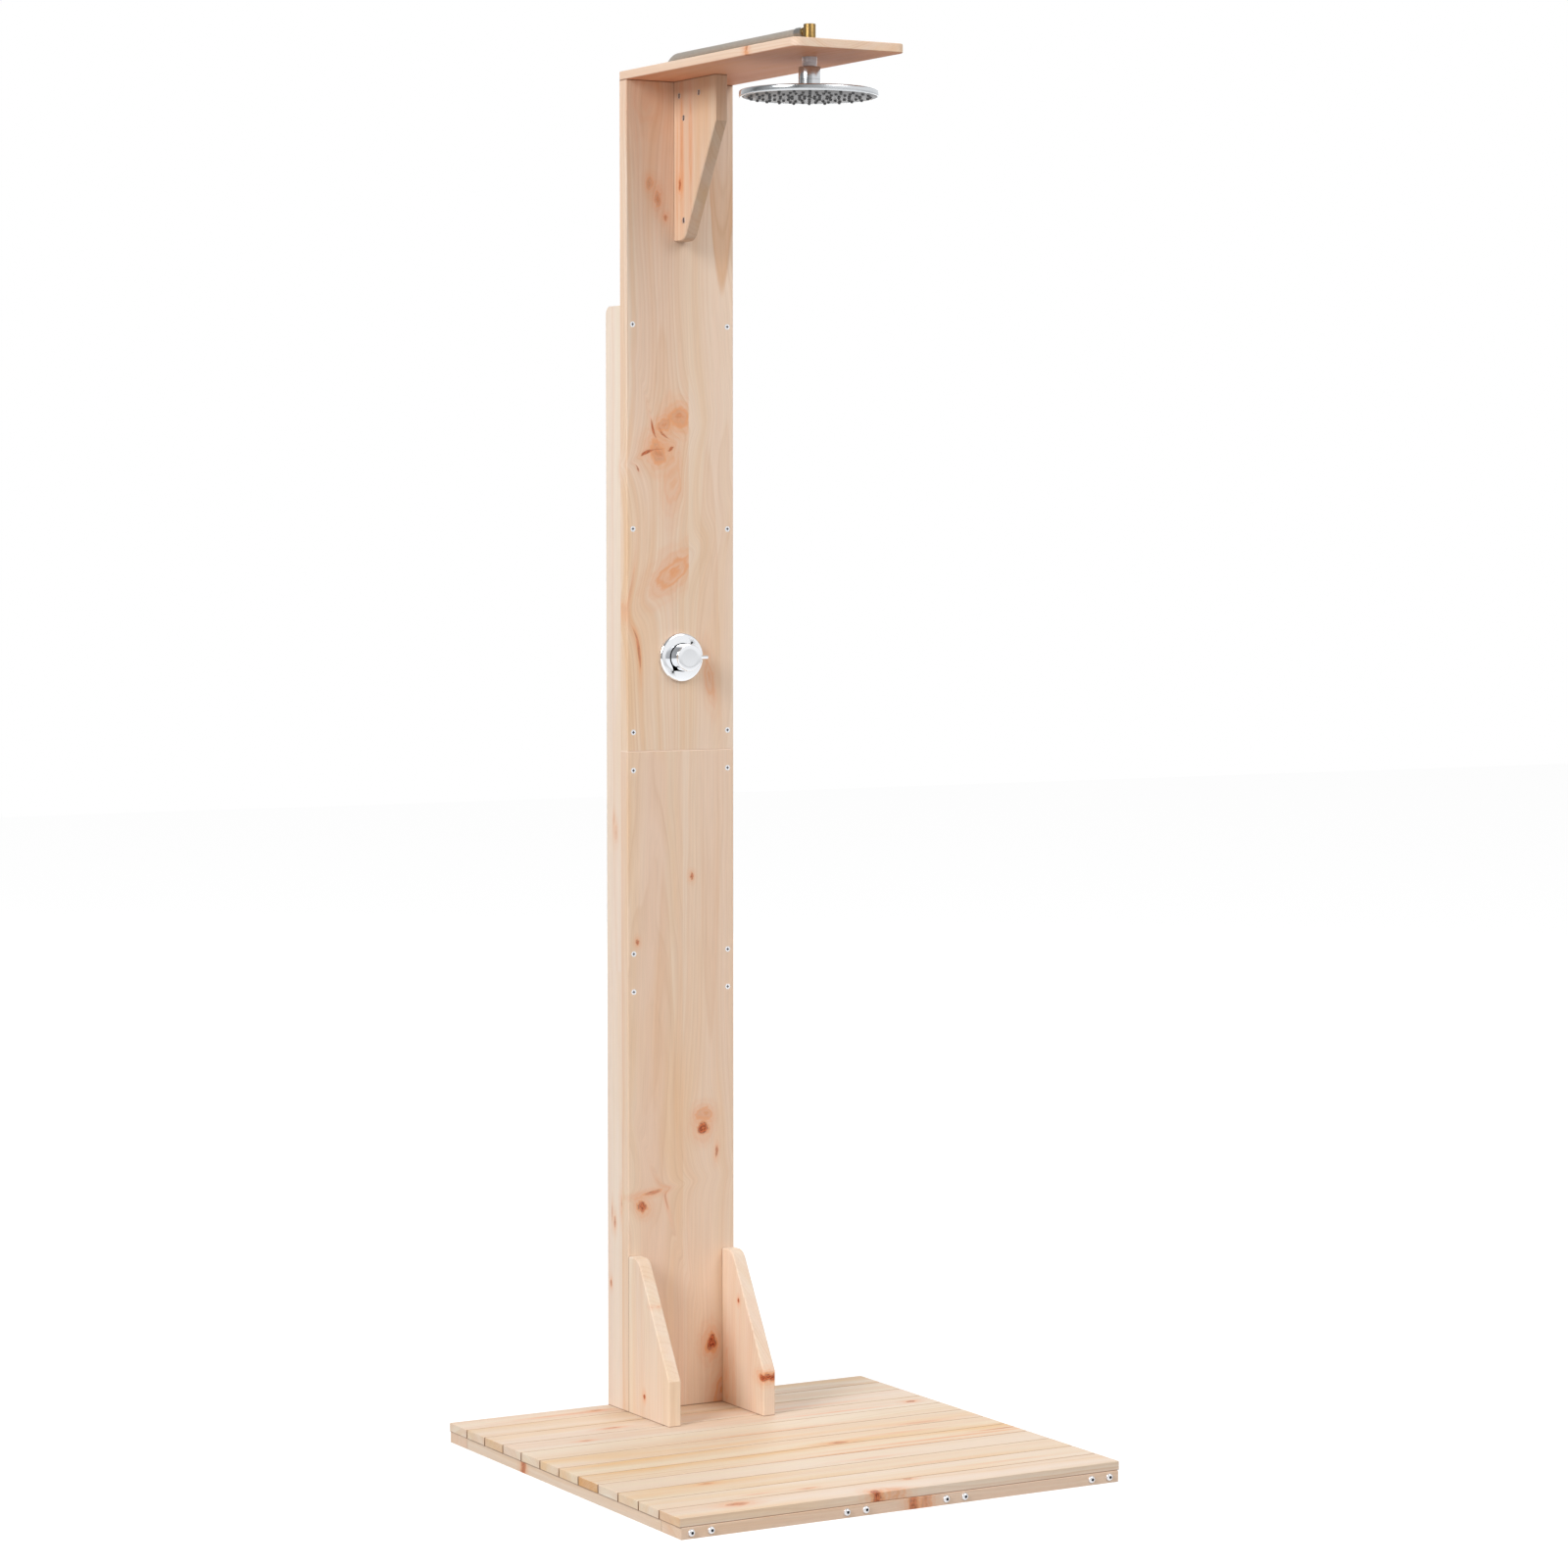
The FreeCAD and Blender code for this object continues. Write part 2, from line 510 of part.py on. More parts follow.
# ------------------------------------------------------------------ hose and its ends
# One run lies over the arm, a quarter bend drops it behind the column, one run goes down to the valve.
hoseRadius = "hoseRound / 2"
overArm = cylinder("OverArm", hoseRadius, "hoseY - hoseBend - hoseStart", ("0", "hoseStart", "hoseZ"), TO_BACK)
bend = doc.addObject("Part::Torus", "Bend")
bind(bend, "Radius1", "hoseBend")
bind(bend, "Radius2", hoseRadius)
bend.Angle3 = 90
place(bend, ("0", "hoseY - hoseBend", "hoseZ - hoseBend"), (Y_AXIS, -90))
downRun = cylinder("DownRun", hoseRadius, "hoseZ - hoseBend - hoseEnd", ("0", "hoseY", "hoseEnd"))
hose = node("hose", joined("Hose", [overArm, bend, downRun]))

ferrule = stepped("Ferrule", 24, [("ferruleRound / 2", "0", "ferruleLong")])
upperFerrule = spread("UpperFerrule", ferrule, [("0", "hoseStart - ferruleLong", "hoseZ")], TO_BACK)
lowerFerrule = spread("LowerFerrule", ferrule, [("0", "hoseY", "hoseEnd - ferruleLong")])
node("ferrules", gathered("Ferrules", [upperFerrule, lowerFerrule]))

upperTail = stepped("UpperTail", 6, [("tailAcross / sqrt(3)", "0", "tailHex")])
node("upper_tail", place(upperTail, ("0", "elbowPort", "hoseZ"), TO_BACK))

seal = ringed("HoseSeal", 12, "pipeThread / 2", "stubBore / 2", "sealThick")
place(seal, ("0", "hoseY", "stubEnd"))
node("seal_washers", gathered("SealWashers", [seat, seal]))

tailFoot = "stubEnd + sealThick"
lowerTail = stepped("LowerTail", 24, [(pipe, tailFoot, tailFoot + " + sealThick"),
                                      ("tailNeck / 2", tailFoot + " + sealThick", "hoseEnd - ferruleLong")])
node("lower_tail", place(lowerTail, ("0", "hoseY", "0")))

unionBlank = stepped("UnionBlank", 6, [("unionAcross / sqrt(3)", "unionEnd - unionLong", "unionEnd")])
place(unionBlank, ("0", "0", "unionEnd - unionLong"))
unionWays = stepped("UnionWays", 24, [
    (threadWay, "unionEnd - unionLong", "unionEnd - unionCap"),
    (cleared("tailNeck / 2 + threadFit", 24), "unionEnd - unionCap", "unionEnd")])
node("union_nut", place(cut("UnionNut", unionBlank, [unionWays]), ("0", "hoseY", "0")))

# ------------------------------------------------------------------ valve
# The neck passes through the board from the flange behind it; its axis runs front to back.
behind = "(boardThick + gasketThick)"
valveSpot = ("0", "boardFront", "valveZ")
valveBlock = stepped("ValveBlock", 24, [("neckRound / 2", "-neckProud", "barrelBack"),
                                        ("flangeRound / 2", behind, behind + " + flangeThick")])
place(valveBlock, valveSpot, TO_BACK)
chamber = stepped("Chamber", 12, [(cleared("cartridgeRound / 2", 12), "-neckProud", "discSeat")])
place(chamber, ("0", "boardFront - neckProud", "valveZ"), TO_BACK)
stubs = []
ways = [chamber]
for name, turn, sign in (("Outlet", None, "+"), ("Inlet", TO_FLOOR, "-")):
    foot = ("0", "hoseY", "valveZ")
    port = "valveZ %s portPitch / 2" % sign
    stubs.append(cylinder(name + "Stub", pipe, "stubReach", foot, turn))
    flats = stepped(name + "Flats", 6, [("stubAcross / sqrt(3)", "0", "stubReach - stubThread")])
    stubs.append(place(flats, foot, turn))
    way = stepped(name + "Way", 12, [("stubBore / 2", "0", "stubReach")])
    ways.append(place(way, ("0", "hoseY", port), turn))
    drilling = stepped(name + "Drilling", 12, [("portRound / 2", "0", "hoseY - boardFront - discSeat")])
    ways.append(place(drilling, ("0", "boardFront + discSeat", port), TO_BACK))
node("valve_body", cut("ValveBody", joined("ValveSolid", [valveBlock] + stubs), ways))

gasket = ringed("Gasket", 24, "flangeRound / 2", "neckRound / 2 + threadFit", "gasketThick")
node("valve_gasket", place(gasket, ("0", "boardBack", "valveZ"), TO_BACK))

# The cover screws onto the neck and draws the flange up against the back of the board.
coverBlank = stacked("CoverBlank", 36, [("coverRound / 2", "0"), ("coverRound / 2", "coverLip"),
                                        ("coverRound / 2 - coverDepth + coverLip", "coverDepth")])
coverWay = stepped("CoverWay", 24, [(cleared("neckRound / 2 + threadFit", 24), "0", "coverDepth")])
node("escutcheon", place(cut("Cover", coverBlank, [coverWay]), valveSpot, TO_FRONT))

discFront = "(discSeat - fixedDisc - movingDisc)"
fixedBlank = stepped("FixedBlank", 12, [("cartridgeRound / 2", "0", "fixedDisc")])
place(fixedBlank, ("0", "boardFront + discSeat - fixedDisc", "valveZ"), TO_BACK)
discPort = stepped("DiscPort", 6, [("portRound / 2", "0", "fixedDisc")])
discPorts = spread("DiscPorts", discPort, [("0", "boardFront + discSeat - fixedDisc",
                                            "valveZ %s portPitch / 2" % sign) for sign in "-+"], TO_BACK)
node("fixed_disc", cut("FixedDisc", fixedBlank, [discPorts]))

# The spindle's flat tang drives the moving disc.
spindleRod = cylinder("SpindleRod", "spindleRound / 2", "discSeat - fixedDisc - movingDisc + capFace - capWall",
                      ("0", "boardFront - capFace + capWall", "valveZ"), TO_BACK)
tang = doc.addObject("Part::Box", "Tang")
bind(tang, "Length", "tangLong")
bind(tang, "Width", "tangDeep")
bind(tang, "Height", "tangWide")
place(tang, ("-tangLong / 2", "boardFront + " + discFront, "valveZ - tangWide / 2"))
movingBlank = stepped("MovingBlank", 12, [("discRound / 2", "0", "movingDisc")])
place(movingBlank, ("0", "boardFront + " + discFront, "valveZ"), TO_BACK)
node("moving_disc", cut("MovingDisc", movingBlank, [tang]))

# The cartridge fills the chamber between the discs and the hexagonal retaining nut.
spindleWay = cylinder("SpindleWay", "spindleRound / 2 + turnFit", "discSeat + neckProud",
                      ("0", "boardFront - neckProud", "valveZ"), TO_BACK)
for name, sides, front, long in (("cartridge", 12, "retainerLong - neckProud",
                                  discFront + " + neckProud - retainerLong"),
                                 ("retainer", 6, "-neckProud", "retainerLong")):
    blank = stepped("Blank" + name, sides, [("cartridgeRound / 2", "0", long)])
    place(blank, ("0", "boardFront + " + front, "valveZ"), TO_BACK)
    node(name, cut("Bored" + name, blank, [spindleWay]))

# The cap is a round knob on the spindle; the stick lever screws into its side.
cap = stacked("Cap", 24, [("capRound / 2", "coverDepth + capGap"), ("capRound / 2", "capFace - capEdge"),
                          ("capRound / 2 - capEdge", "capFace")])
place(cap, valveSpot, TO_FRONT)
lever = cylinder("Lever", "leverRound / 2", "leverReach - spindleRound / 2",
                 ("spindleRound / 2", "boardFront - leverPlace", "valveZ"), TO_RIGHT)
node("spindle", joined("Spindle", [spindleRod, tang]))
node("valve_cap", cut("ValveCap", cap, [spindleRod, lever]))
node("stick_lever", lever)

# ------------------------------------------------------------------ build, verify and write out
doc.recompute()
broken = [o.Name for o in doc.Objects if "Invalid" in o.State or "Error" in o.State]
broken += [o.Label for o in nodes if o.Shape.isNull() or not o.Shape.isValid()]
if broken:
    raise RuntimeError("pieces that failed: " + ", ".join(broken))

arc = math.radians(bend.Angle3.Value) * bend.Radius1.Value
hoseLength = overArm.Height.Value + arc + downRun.Height.Value
section = math.pi * overArm.Radius.Value ** 2
print("hose bend radius %.0f mm, solid %.0f mm3, section times length %.0f mm3"
      % (bend.Radius1.Value, hose.Shape.Volume, section * hoseLength))

os.makedirs("parts", exist_ok=True)
for piece in nodes:
    piece.Shape.exportStep(os.path.join("parts", piece.Label + ".step"))
print(len(nodes), "nodes written")
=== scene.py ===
import math
import bmesh
import bpy
from mathutils import Matrix, Vector


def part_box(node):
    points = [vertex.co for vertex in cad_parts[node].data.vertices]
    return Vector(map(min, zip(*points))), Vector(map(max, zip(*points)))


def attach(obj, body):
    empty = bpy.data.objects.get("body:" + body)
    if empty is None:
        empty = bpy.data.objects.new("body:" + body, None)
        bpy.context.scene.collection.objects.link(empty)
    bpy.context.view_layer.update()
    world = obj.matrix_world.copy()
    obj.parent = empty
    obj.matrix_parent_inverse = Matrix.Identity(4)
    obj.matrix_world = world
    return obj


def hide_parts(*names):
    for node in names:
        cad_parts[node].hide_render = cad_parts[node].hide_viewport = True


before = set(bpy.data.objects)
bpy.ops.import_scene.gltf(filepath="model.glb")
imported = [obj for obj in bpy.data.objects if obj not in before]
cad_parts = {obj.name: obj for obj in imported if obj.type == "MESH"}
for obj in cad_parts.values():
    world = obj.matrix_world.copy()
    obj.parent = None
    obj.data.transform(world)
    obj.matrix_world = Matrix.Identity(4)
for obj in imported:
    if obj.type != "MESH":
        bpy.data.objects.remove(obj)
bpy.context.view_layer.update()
scene = bpy.context.scene
mm = 0.001
up, down = Vector((0, 0, 1)), Vector((0, 0, -1))
front, back = Vector((0, -1, 0)), Vector((0, 1, 0))
left, right = Vector((-1, 0, 0)), Vector((1, 0, 0))


def edgesOf(node):
    # a CAD node's box as six plain numbers in millimetres
    low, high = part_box(node)
    return [c / mm for c in (low.x, high.x, low.y, high.y, low.z, high.z)]


# Camera: from the front left and looking a little down, with the photograph's lens and framing
view = {"place": (-2.9976, -5.2081, 1.3182), "yaw": -30.014, "pitch": -3.313, "lens": 97.55}
camera = bpy.data.objects.new("camera", bpy.data.cameras.new("camera"))
camera.data.lens = view["lens"]
camera.data.sensor_width = 36
camera.data.clip_end = 60
camera.location = view["place"]
camera.rotation_euler = (math.radians(90 + view["pitch"]), 0, math.radians(view["yaw"]))
scene.collection.objects.link(camera)
scene.camera = camera
print("camera placed")


# Node helpers shared by the materials
def addNode(tree, kind, inputs=None, **settings):
    node = tree.nodes.new("ShaderNode" + kind)
    for name, value in settings.items():
        setattr(node, name, value)
    for key, value in (inputs or {}).items():
        feed(tree, node.inputs[key], value)
    return node


def feed(tree, socket, value):
    if isinstance(value, bpy.types.NodeSocket):
        tree.links.new(value, socket)
    else:
        socket.default_value = value


def maths(tree, operation, *values, clamp=False):
    node = addNode(tree, "Math", operation=operation, use_clamp=clamp)
    for socket, value in zip(node.inputs, values):
        feed(tree, socket, value)
    return node.outputs[0]


def times(tree, first, second):
    return maths(tree, "MULTIPLY", first, second)


def vectors(tree, operation, *values):
    node = addNode(tree, "VectorMath", operation=operation)
    for socket, value in zip(node.inputs, values):
        feed(tree, socket, value)
    return node.outputs[1] if operation == "LENGTH" else node.outputs[0]


def blended(tree, amount, first, second, mode="MIX"):
    node = addNode(tree, "Mix", data_type="RGBA", blend_type=mode)
    feed(tree, node.inputs[0], amount)
    feed(tree, node.inputs[6], first)
    feed(tree, node.inputs[7], second)
    return node.outputs[2]


def ramp(tree, value, stops):
    # stops are (position, grey or colour) pairs
    node = addNode(tree, "ValToRGB", {0: value})
    elements = node.color_ramp.elements
    while len(elements) < len(stops):
        elements.new(1)
    for element, (place, shade) in zip(elements, stops):
        element.position = place
        element.color = (*shade, 1) if isinstance(shade, tuple) else (shade, shade, shade, 1)
    return node.outputs[0]


def noise(tree, vector, scale, detail=2, roughness=0.5):
    node = addNode(tree, "TexNoise",
                   {"Vector": vector, "Scale": scale, "Detail": detail, "Roughness": roughness})
    return node.outputs


def newMaterial(name):
    material = bpy.data.materials.new(name)
    material.use_nodes = True
    tree = material.node_tree
    return material, tree, tree.nodes["Principled BSDF"]


def bumped(tree, shader, height, strength, distance):
    node = addNode(tree, "Bump",
                   {"Height": height, "Strength": strength, "Distance": distance})
    feed(tree, shader.inputs["Normal"], node.outputs[0])


# Studio: white for the eye and in reflections, a softer sky, and three lamps of so many watts, metres
# across and at a place: a strong one at the left and fills in front and behind
studio = {"sky": 0.45, "middle": (0, 0, 1.0),
          "lamps": {"leftLamp": (430, 3.4, (-6.9, -1.8, 4.9)), "frontLamp": (222, 3.6, (2.2, -5.9, 5.7)),
                    "backLamp": (85, 4.0, (5.0, 5.8, 3.0))},
          "floor": (0.40, 0.40, 0.40, 1), "floorGlow": 0.84, "floorSeen": (0.3, 0.3, 0.3, 1), "floorSize": 14}


def showsWhite(tree):
    # 1 where the eye, a reflection or a view through glass looks, 0 where the object is lit
    rays = addNode(tree, "LightPath").outputs
    seen = maths(tree, "ADD", rays["Is Camera Ray"], rays["Is Glossy Ray"], clamp=True)
    return maths(tree, "ADD", seen, rays["Is Transmission Ray"], clamp=True), rays


world = bpy.data.worlds.new("studio")
scene.world = world
world.use_nodes = True
skyTree = world.node_tree
skyTree.nodes.clear()
looked, rays = showsWhite(skyTree)
aim = addNode(skyTree, "TexCoord").outputs["Generated"]
tilt = addNode(skyTree, "SeparateXYZ", {0: aim}).outputs
band = ramp(skyTree, maths(skyTree, "MULTIPLY_ADD", tilt[2], 0.5, 0.5),
            [(0.0, 0.5), (0.46, 0.6), (0.5, 1.0), (0.64, 1.0), (0.8, 0.62), (1.0, 0.8)])
# metal mirrors a grey wall at the left
flag = ramp(skyTree, maths(skyTree, "MULTIPLY_ADD", tilt[0], 0.5, 0.5),
            [(0.0, 0.42), (0.12, 0.12), (0.2, 0.45), (0.42, 0.6), (0.5, 1.0), (1.0, 1.0)])
band = blended(skyTree, 1.0, band, flag, "MULTIPLY")
backdrop = blended(skyTree, rays["Is Glossy Ray"], (1, 1, 1, 1), band)
soft = addNode(skyTree, "Background", {0: (1, 1, 1, 1), 1: studio["sky"]}).outputs[0]
white = addNode(skyTree, "Background", {0: backdrop, 1: 1.0}).outputs[0]
surround = addNode(skyTree, "MixShader", {0: looked, 1: soft, 2: white}).outputs[0]
addNode(skyTree, "OutputWorld", {0: surround})
scene.view_settings.view_transform = "Standard"

for name, (energy, size, place) in studio["lamps"].items():
    lamp = bpy.data.objects.new(name, bpy.data.lights.new(name, "AREA"))
    lamp.data.energy, lamp.data.size = energy, size
    lamp.location = place
    lamp.rotation_euler = (Vector(studio["middle"]) - Vector(place)).to_track_quat("-Z", "Y").to_euler()
    scene.collection.objects.link(lamp)

floorMaterial, floorTree, floorShader = newMaterial("paleFloor")
floorShader.inputs["Base Color"].default_value = studio["floor"]
floorShader.inputs["Roughness"].default_value = 0.9
floorShader.inputs["Specular IOR Level"].default_value = 0.0
shadowed = addNode(floorTree, "BsdfDiffuse", {0: studio["floorSeen"]}).outputs[0]
glow = addNode(floorTree, "Emission", {0: (1, 1, 1, 1), 1: studio["floorGlow"]}).outputs[0]
paper = addNode(floorTree, "AddShader", {0: shadowed, 1: glow}).outputs[0]
floorMix = addNode(floorTree, "MixShader",
                   {0: showsWhite(floorTree)[0], 1: floorShader.outputs[0], 2: paper}).outputs[0]
feed(floorTree, floorTree.nodes["Material Output"].inputs[0], floorMix)
floorBm = bmesh.new()
bmesh.ops.create_grid(floorBm, x_segments=1, y_segments=1, size=studio["floorSize"])
floorMesh = bpy.data.meshes.new("floor")
floorBm.to_mesh(floorMesh)
floorBm.free()
floor = bpy.data.objects.new("floor", floorMesh)
floorMesh.materials.append(floorMaterial)
scene.collection.objects.link(floor)
print("studio lit")


# Pine: rings around a pith line, knots that the grain bends round, fine fibres
def newGroup(name, inputs, outputs):
    group = bpy.data.node_groups.new(name, "ShaderNodeTree")
    for names, side in ((inputs, "INPUT"), (outputs, "OUTPUT")):
        for socket, kind in names:
            group.interface.new_socket(socket, in_out=side, socket_type="NodeSocket" + kind)
    return group, group.nodes.new("NodeGroupInput").outputs, group.nodes.new("NodeGroupOutput").inputs


def makeKnotGroup():
    # x runs across the board's face, y into it and z along the grain
    group, given, result = newGroup(
        "knot", [("Vector", "Vector"), ("Centre", "Vector"), ("Reach", "Vector"), ("Lean", "Float"),
                 ("Seed", "Float")],
        [("Vector", "Vector"), ("Core", "Float"), ("Halo", "Float"), ("Tone", "Float")])
    offset = vectors(group, "SUBTRACT", given["Vector"], given["Centre"])
    upright = addNode(group, "VectorRotate",
                      {"Vector": offset, "Axis": (0, 1, 0), "Angle": given["Lean"]}).outputs[0]
    scaled = vectors(group, "DIVIDE", upright, given["Reach"])
    own = vectors(group, "ADD", scaled, given["Seed"])
    wobble = vectors(group, "SUBTRACT", noise(group, own, 1.1, 3)["Color"], (0.5, 0.5, 0.5))
    faced = vectors(group, "MULTIPLY", scaled, (1, 0, 1))
    flat = vectors(group, "MULTIPLY_ADD", wobble, (1.5, 0, 1.5), faced)
    far = vectors(group, "LENGTH", flat)
    plain = vectors(group, "LENGTH", vectors(group, "MULTIPLY", scaled, (1, 0, 0.6)))
    square = times(group, plain, plain)
    pinch = maths(group, "DIVIDE", square, maths(group, "ADD", square, 1.8))
    bent = addNode(group, "CombineXYZ", {0: pinch, 1: 1.0, 2: 1.0}).outputs[0]
    feed(group, result["Vector"], vectors(group, "MULTIPLY_ADD", offset, bent, given["Centre"]))
    feed(group, result["Core"], ramp(group, far, [(0.0, 1.0), (0.6, 1.0), (1.0, 0.0)]))
    near = maths(group, "DIVIDE", far, 3.4)
    swirl = maths(group, "SINE", times(group, far, 15.0))
    rings = maths(group, "MULTIPLY_ADD", maths(group, "SINE", times(group, far, 8.0)), 0.22, 0.8)
    glow = ramp(group, near, [(0.0, 1.0), (0.3, 0.85), (0.55, 0.3), (1.0, 0.0)])
    feed(group, result["Halo"], times(group, glow, rings))
    speck = noise(group, own, 3.0, 3)["Fac"]
    feed(group, result["Tone"], maths(group, "MULTIPLY_ADD", swirl, 0.14, speck, clamp=True))
    return group


def makeFlameGroup():
    # the pointed loops of a flat-sawn board: nested curves that close at a tip
    group, given, result = newGroup(
        "flame", [("Vector", "Vector"), ("Tip", "Vector"), ("Size", "Vector"), ("Seed", "Float")],
        [("Inside", "Float"), ("Line", "Float")])
    offset = vectors(group, "SUBTRACT", given["Vector"], given["Tip"])
    offset = vectors(group, "DIVIDE", offset, given["Size"])
    own = vectors(group, "ADD", vectors(group, "MULTIPLY", given["Vector"], (30, 0, 5)), given["Seed"])
    cloud = vectors(group, "SUBTRACT", noise(group, own, 1.0, 3)["Color"], (0.5, 0.5, 0.5))
    frayed = vectors(group, "MULTIPLY_ADD", cloud, (0.5, 0, 0.3), offset)
    axes = addNode(group, "SeparateXYZ", {0: frayed}).outputs
    deep = maths(group, "SUBTRACT", axes[2], times(group, axes[0], axes[0]))
    edge = ramp(group, deep, [(0.0, 0.0), (0.12, 1.0), (0.5, 0.6), (1.0, 0.25)])
    fade = ramp(group, axes[2], [(0.6, 1.0), (1.0, 0.0)])
    inside = times(group, edge, fade)
    wave = maths(group, "MULTIPLY_ADD", maths(group, "SINE", times(group, deep, 22.0)), 0.5, 0.5)
    feed(group, result["Inside"], inside)
    feed(group, result["Line"], times(group, inside, maths(group, "POWER", wave, 4.0)))
    return group


def makeGrainGroup():
    group, given, result = newGroup(
        "grain", [("Vector", "Vector"), ("Pith", "Vector"), ("Gap", "Float"), ("Taper", "Float"),
                  ("Seed", "Float")],
        [("Late", "Float"), ("Band", "Float"), ("Blush", "Float"), ("Warm", "Float"), ("Fibre", "Float")])

    def drift(stretch, amount, detail):
        shifted = vectors(group, "MULTIPLY", vectors(group, "ADD", given["Vector"], given["Seed"]), stretch)
        cloud = vectors(group, "SUBTRACT", noise(group, shifted, 1.0, detail)["Color"], (0.5, 0.5, 0.5))
        return vectors(group, "MULTIPLY", cloud, (amount, amount, 0))

    def cloud(stretch, low, high, detail=2):
        shifted = vectors(group, "MULTIPLY", vectors(group, "ADD", given["Vector"], given["Seed"]), stretch)
        return ramp(group, noise(group, shifted, 1.0, detail)["Fac"], [(low, 0.0), (high, 1.0)])
    waved = vectors(group, "ADD", given["Vector"], drift((6, 6, 1.6), 0.034, 3))
    waved = vectors(group, "ADD", waved, drift((50, 50, 7), 0.002, 2))
    away = vectors(group, "MULTIPLY", vectors(group, "SUBTRACT", waved, given["Pith"]), (1, 1, 0))
    along = addNode(group, "SeparateXYZ", {0: given["Vector"]}).outputs[2]
    radius = maths(group, "MULTIPLY_ADD", along, given["Taper"], vectors(group, "LENGTH", away))
    year = maths(group, "DIVIDE", radius, given["Gap"])
    ring = ramp(group, maths(group, "FRACT", year),
                [(0.0, 0.15), (0.35, 0.0), (0.78, 0.55), (0.92, 1.0), (1.0, 0.15)])
    vigour = addNode(group, "TexWhiteNoise", {"W": maths(group, "FLOOR", year)},
                     noise_dimensions="1D").outputs[0]
    strong = maths(group, "MULTIPLY_ADD", vigour, 0.8, 0.2)
    strong = times(group, strong, cloud((25, 25, 2.5), 0.3, 0.62))
    feed(group, result["Late"], times(group, ring, strong))
    era = maths(group, "MULTIPLY_ADD", radius, 62.0, given["Seed"])
    band = addNode(group, "TexNoise", {"W": era, "Scale": 1.0, "Detail": 3.0, "Roughness": 0.6},
                   noise_dimensions="1D").outputs["Fac"]
    feed(group, result["Band"], ramp(group, band, [(0.36, 0.0), (0.66, 1.0)]))
    feed(group, result["Blush"], cloud((34, 34, 0.8), 0.36, 0.62, 3))
    feed(group, result["Warm"], cloud((20, 20, 2.2), 0.52, 0.74, 3))
    streaky = vectors(group, "MULTIPLY", vectors(group, "ADD", waved, given["Seed"]), (700, 700, 9))
    feed(group, result["Fibre"], noise(group, streaky, 1.0, 3, 0.65)["Fac"])
    return group


knotGroup, flameGroup, grainGroup = makeKnotGroup(), makeFlameGroup(), makeGrainGroup()

# how each board lies: which of the frame's axes run across, into and along it
lies = {"upright": "XYZ", "edgewise": "YXZ", "flatX": "YZX", "flatY": "XZY"}
# the darkest joint tone is painted shade along joints between parts; the gap tone is painted shade in the
# gaps between slats; the lit tone is a painted highlight along the joint between the two boards
pine = {"pale": (0.86, 0.69, 0.545, 1), "tan": (0.80, 0.565, 0.385, 1), "blush": (0.825, 0.585, 0.455, 1),
        "late": (0.66, 0.39, 0.215, 1), "warm": (0.82, 0.50, 0.25, 1), "halo": (0.80, 0.36, 0.17, 1),
        "flame": (0.74, 0.43, 0.235, 1), "knotDark": (0.21, 0.030, 0.012), "knotLight": (0.62, 0.16, 0.06),
        "seam": (0.20, 0.075, 0.032, 1), "gap": (0.50, 0.31, 0.19, 1), "lit": (0.97, 0.80, 0.68, 1)}


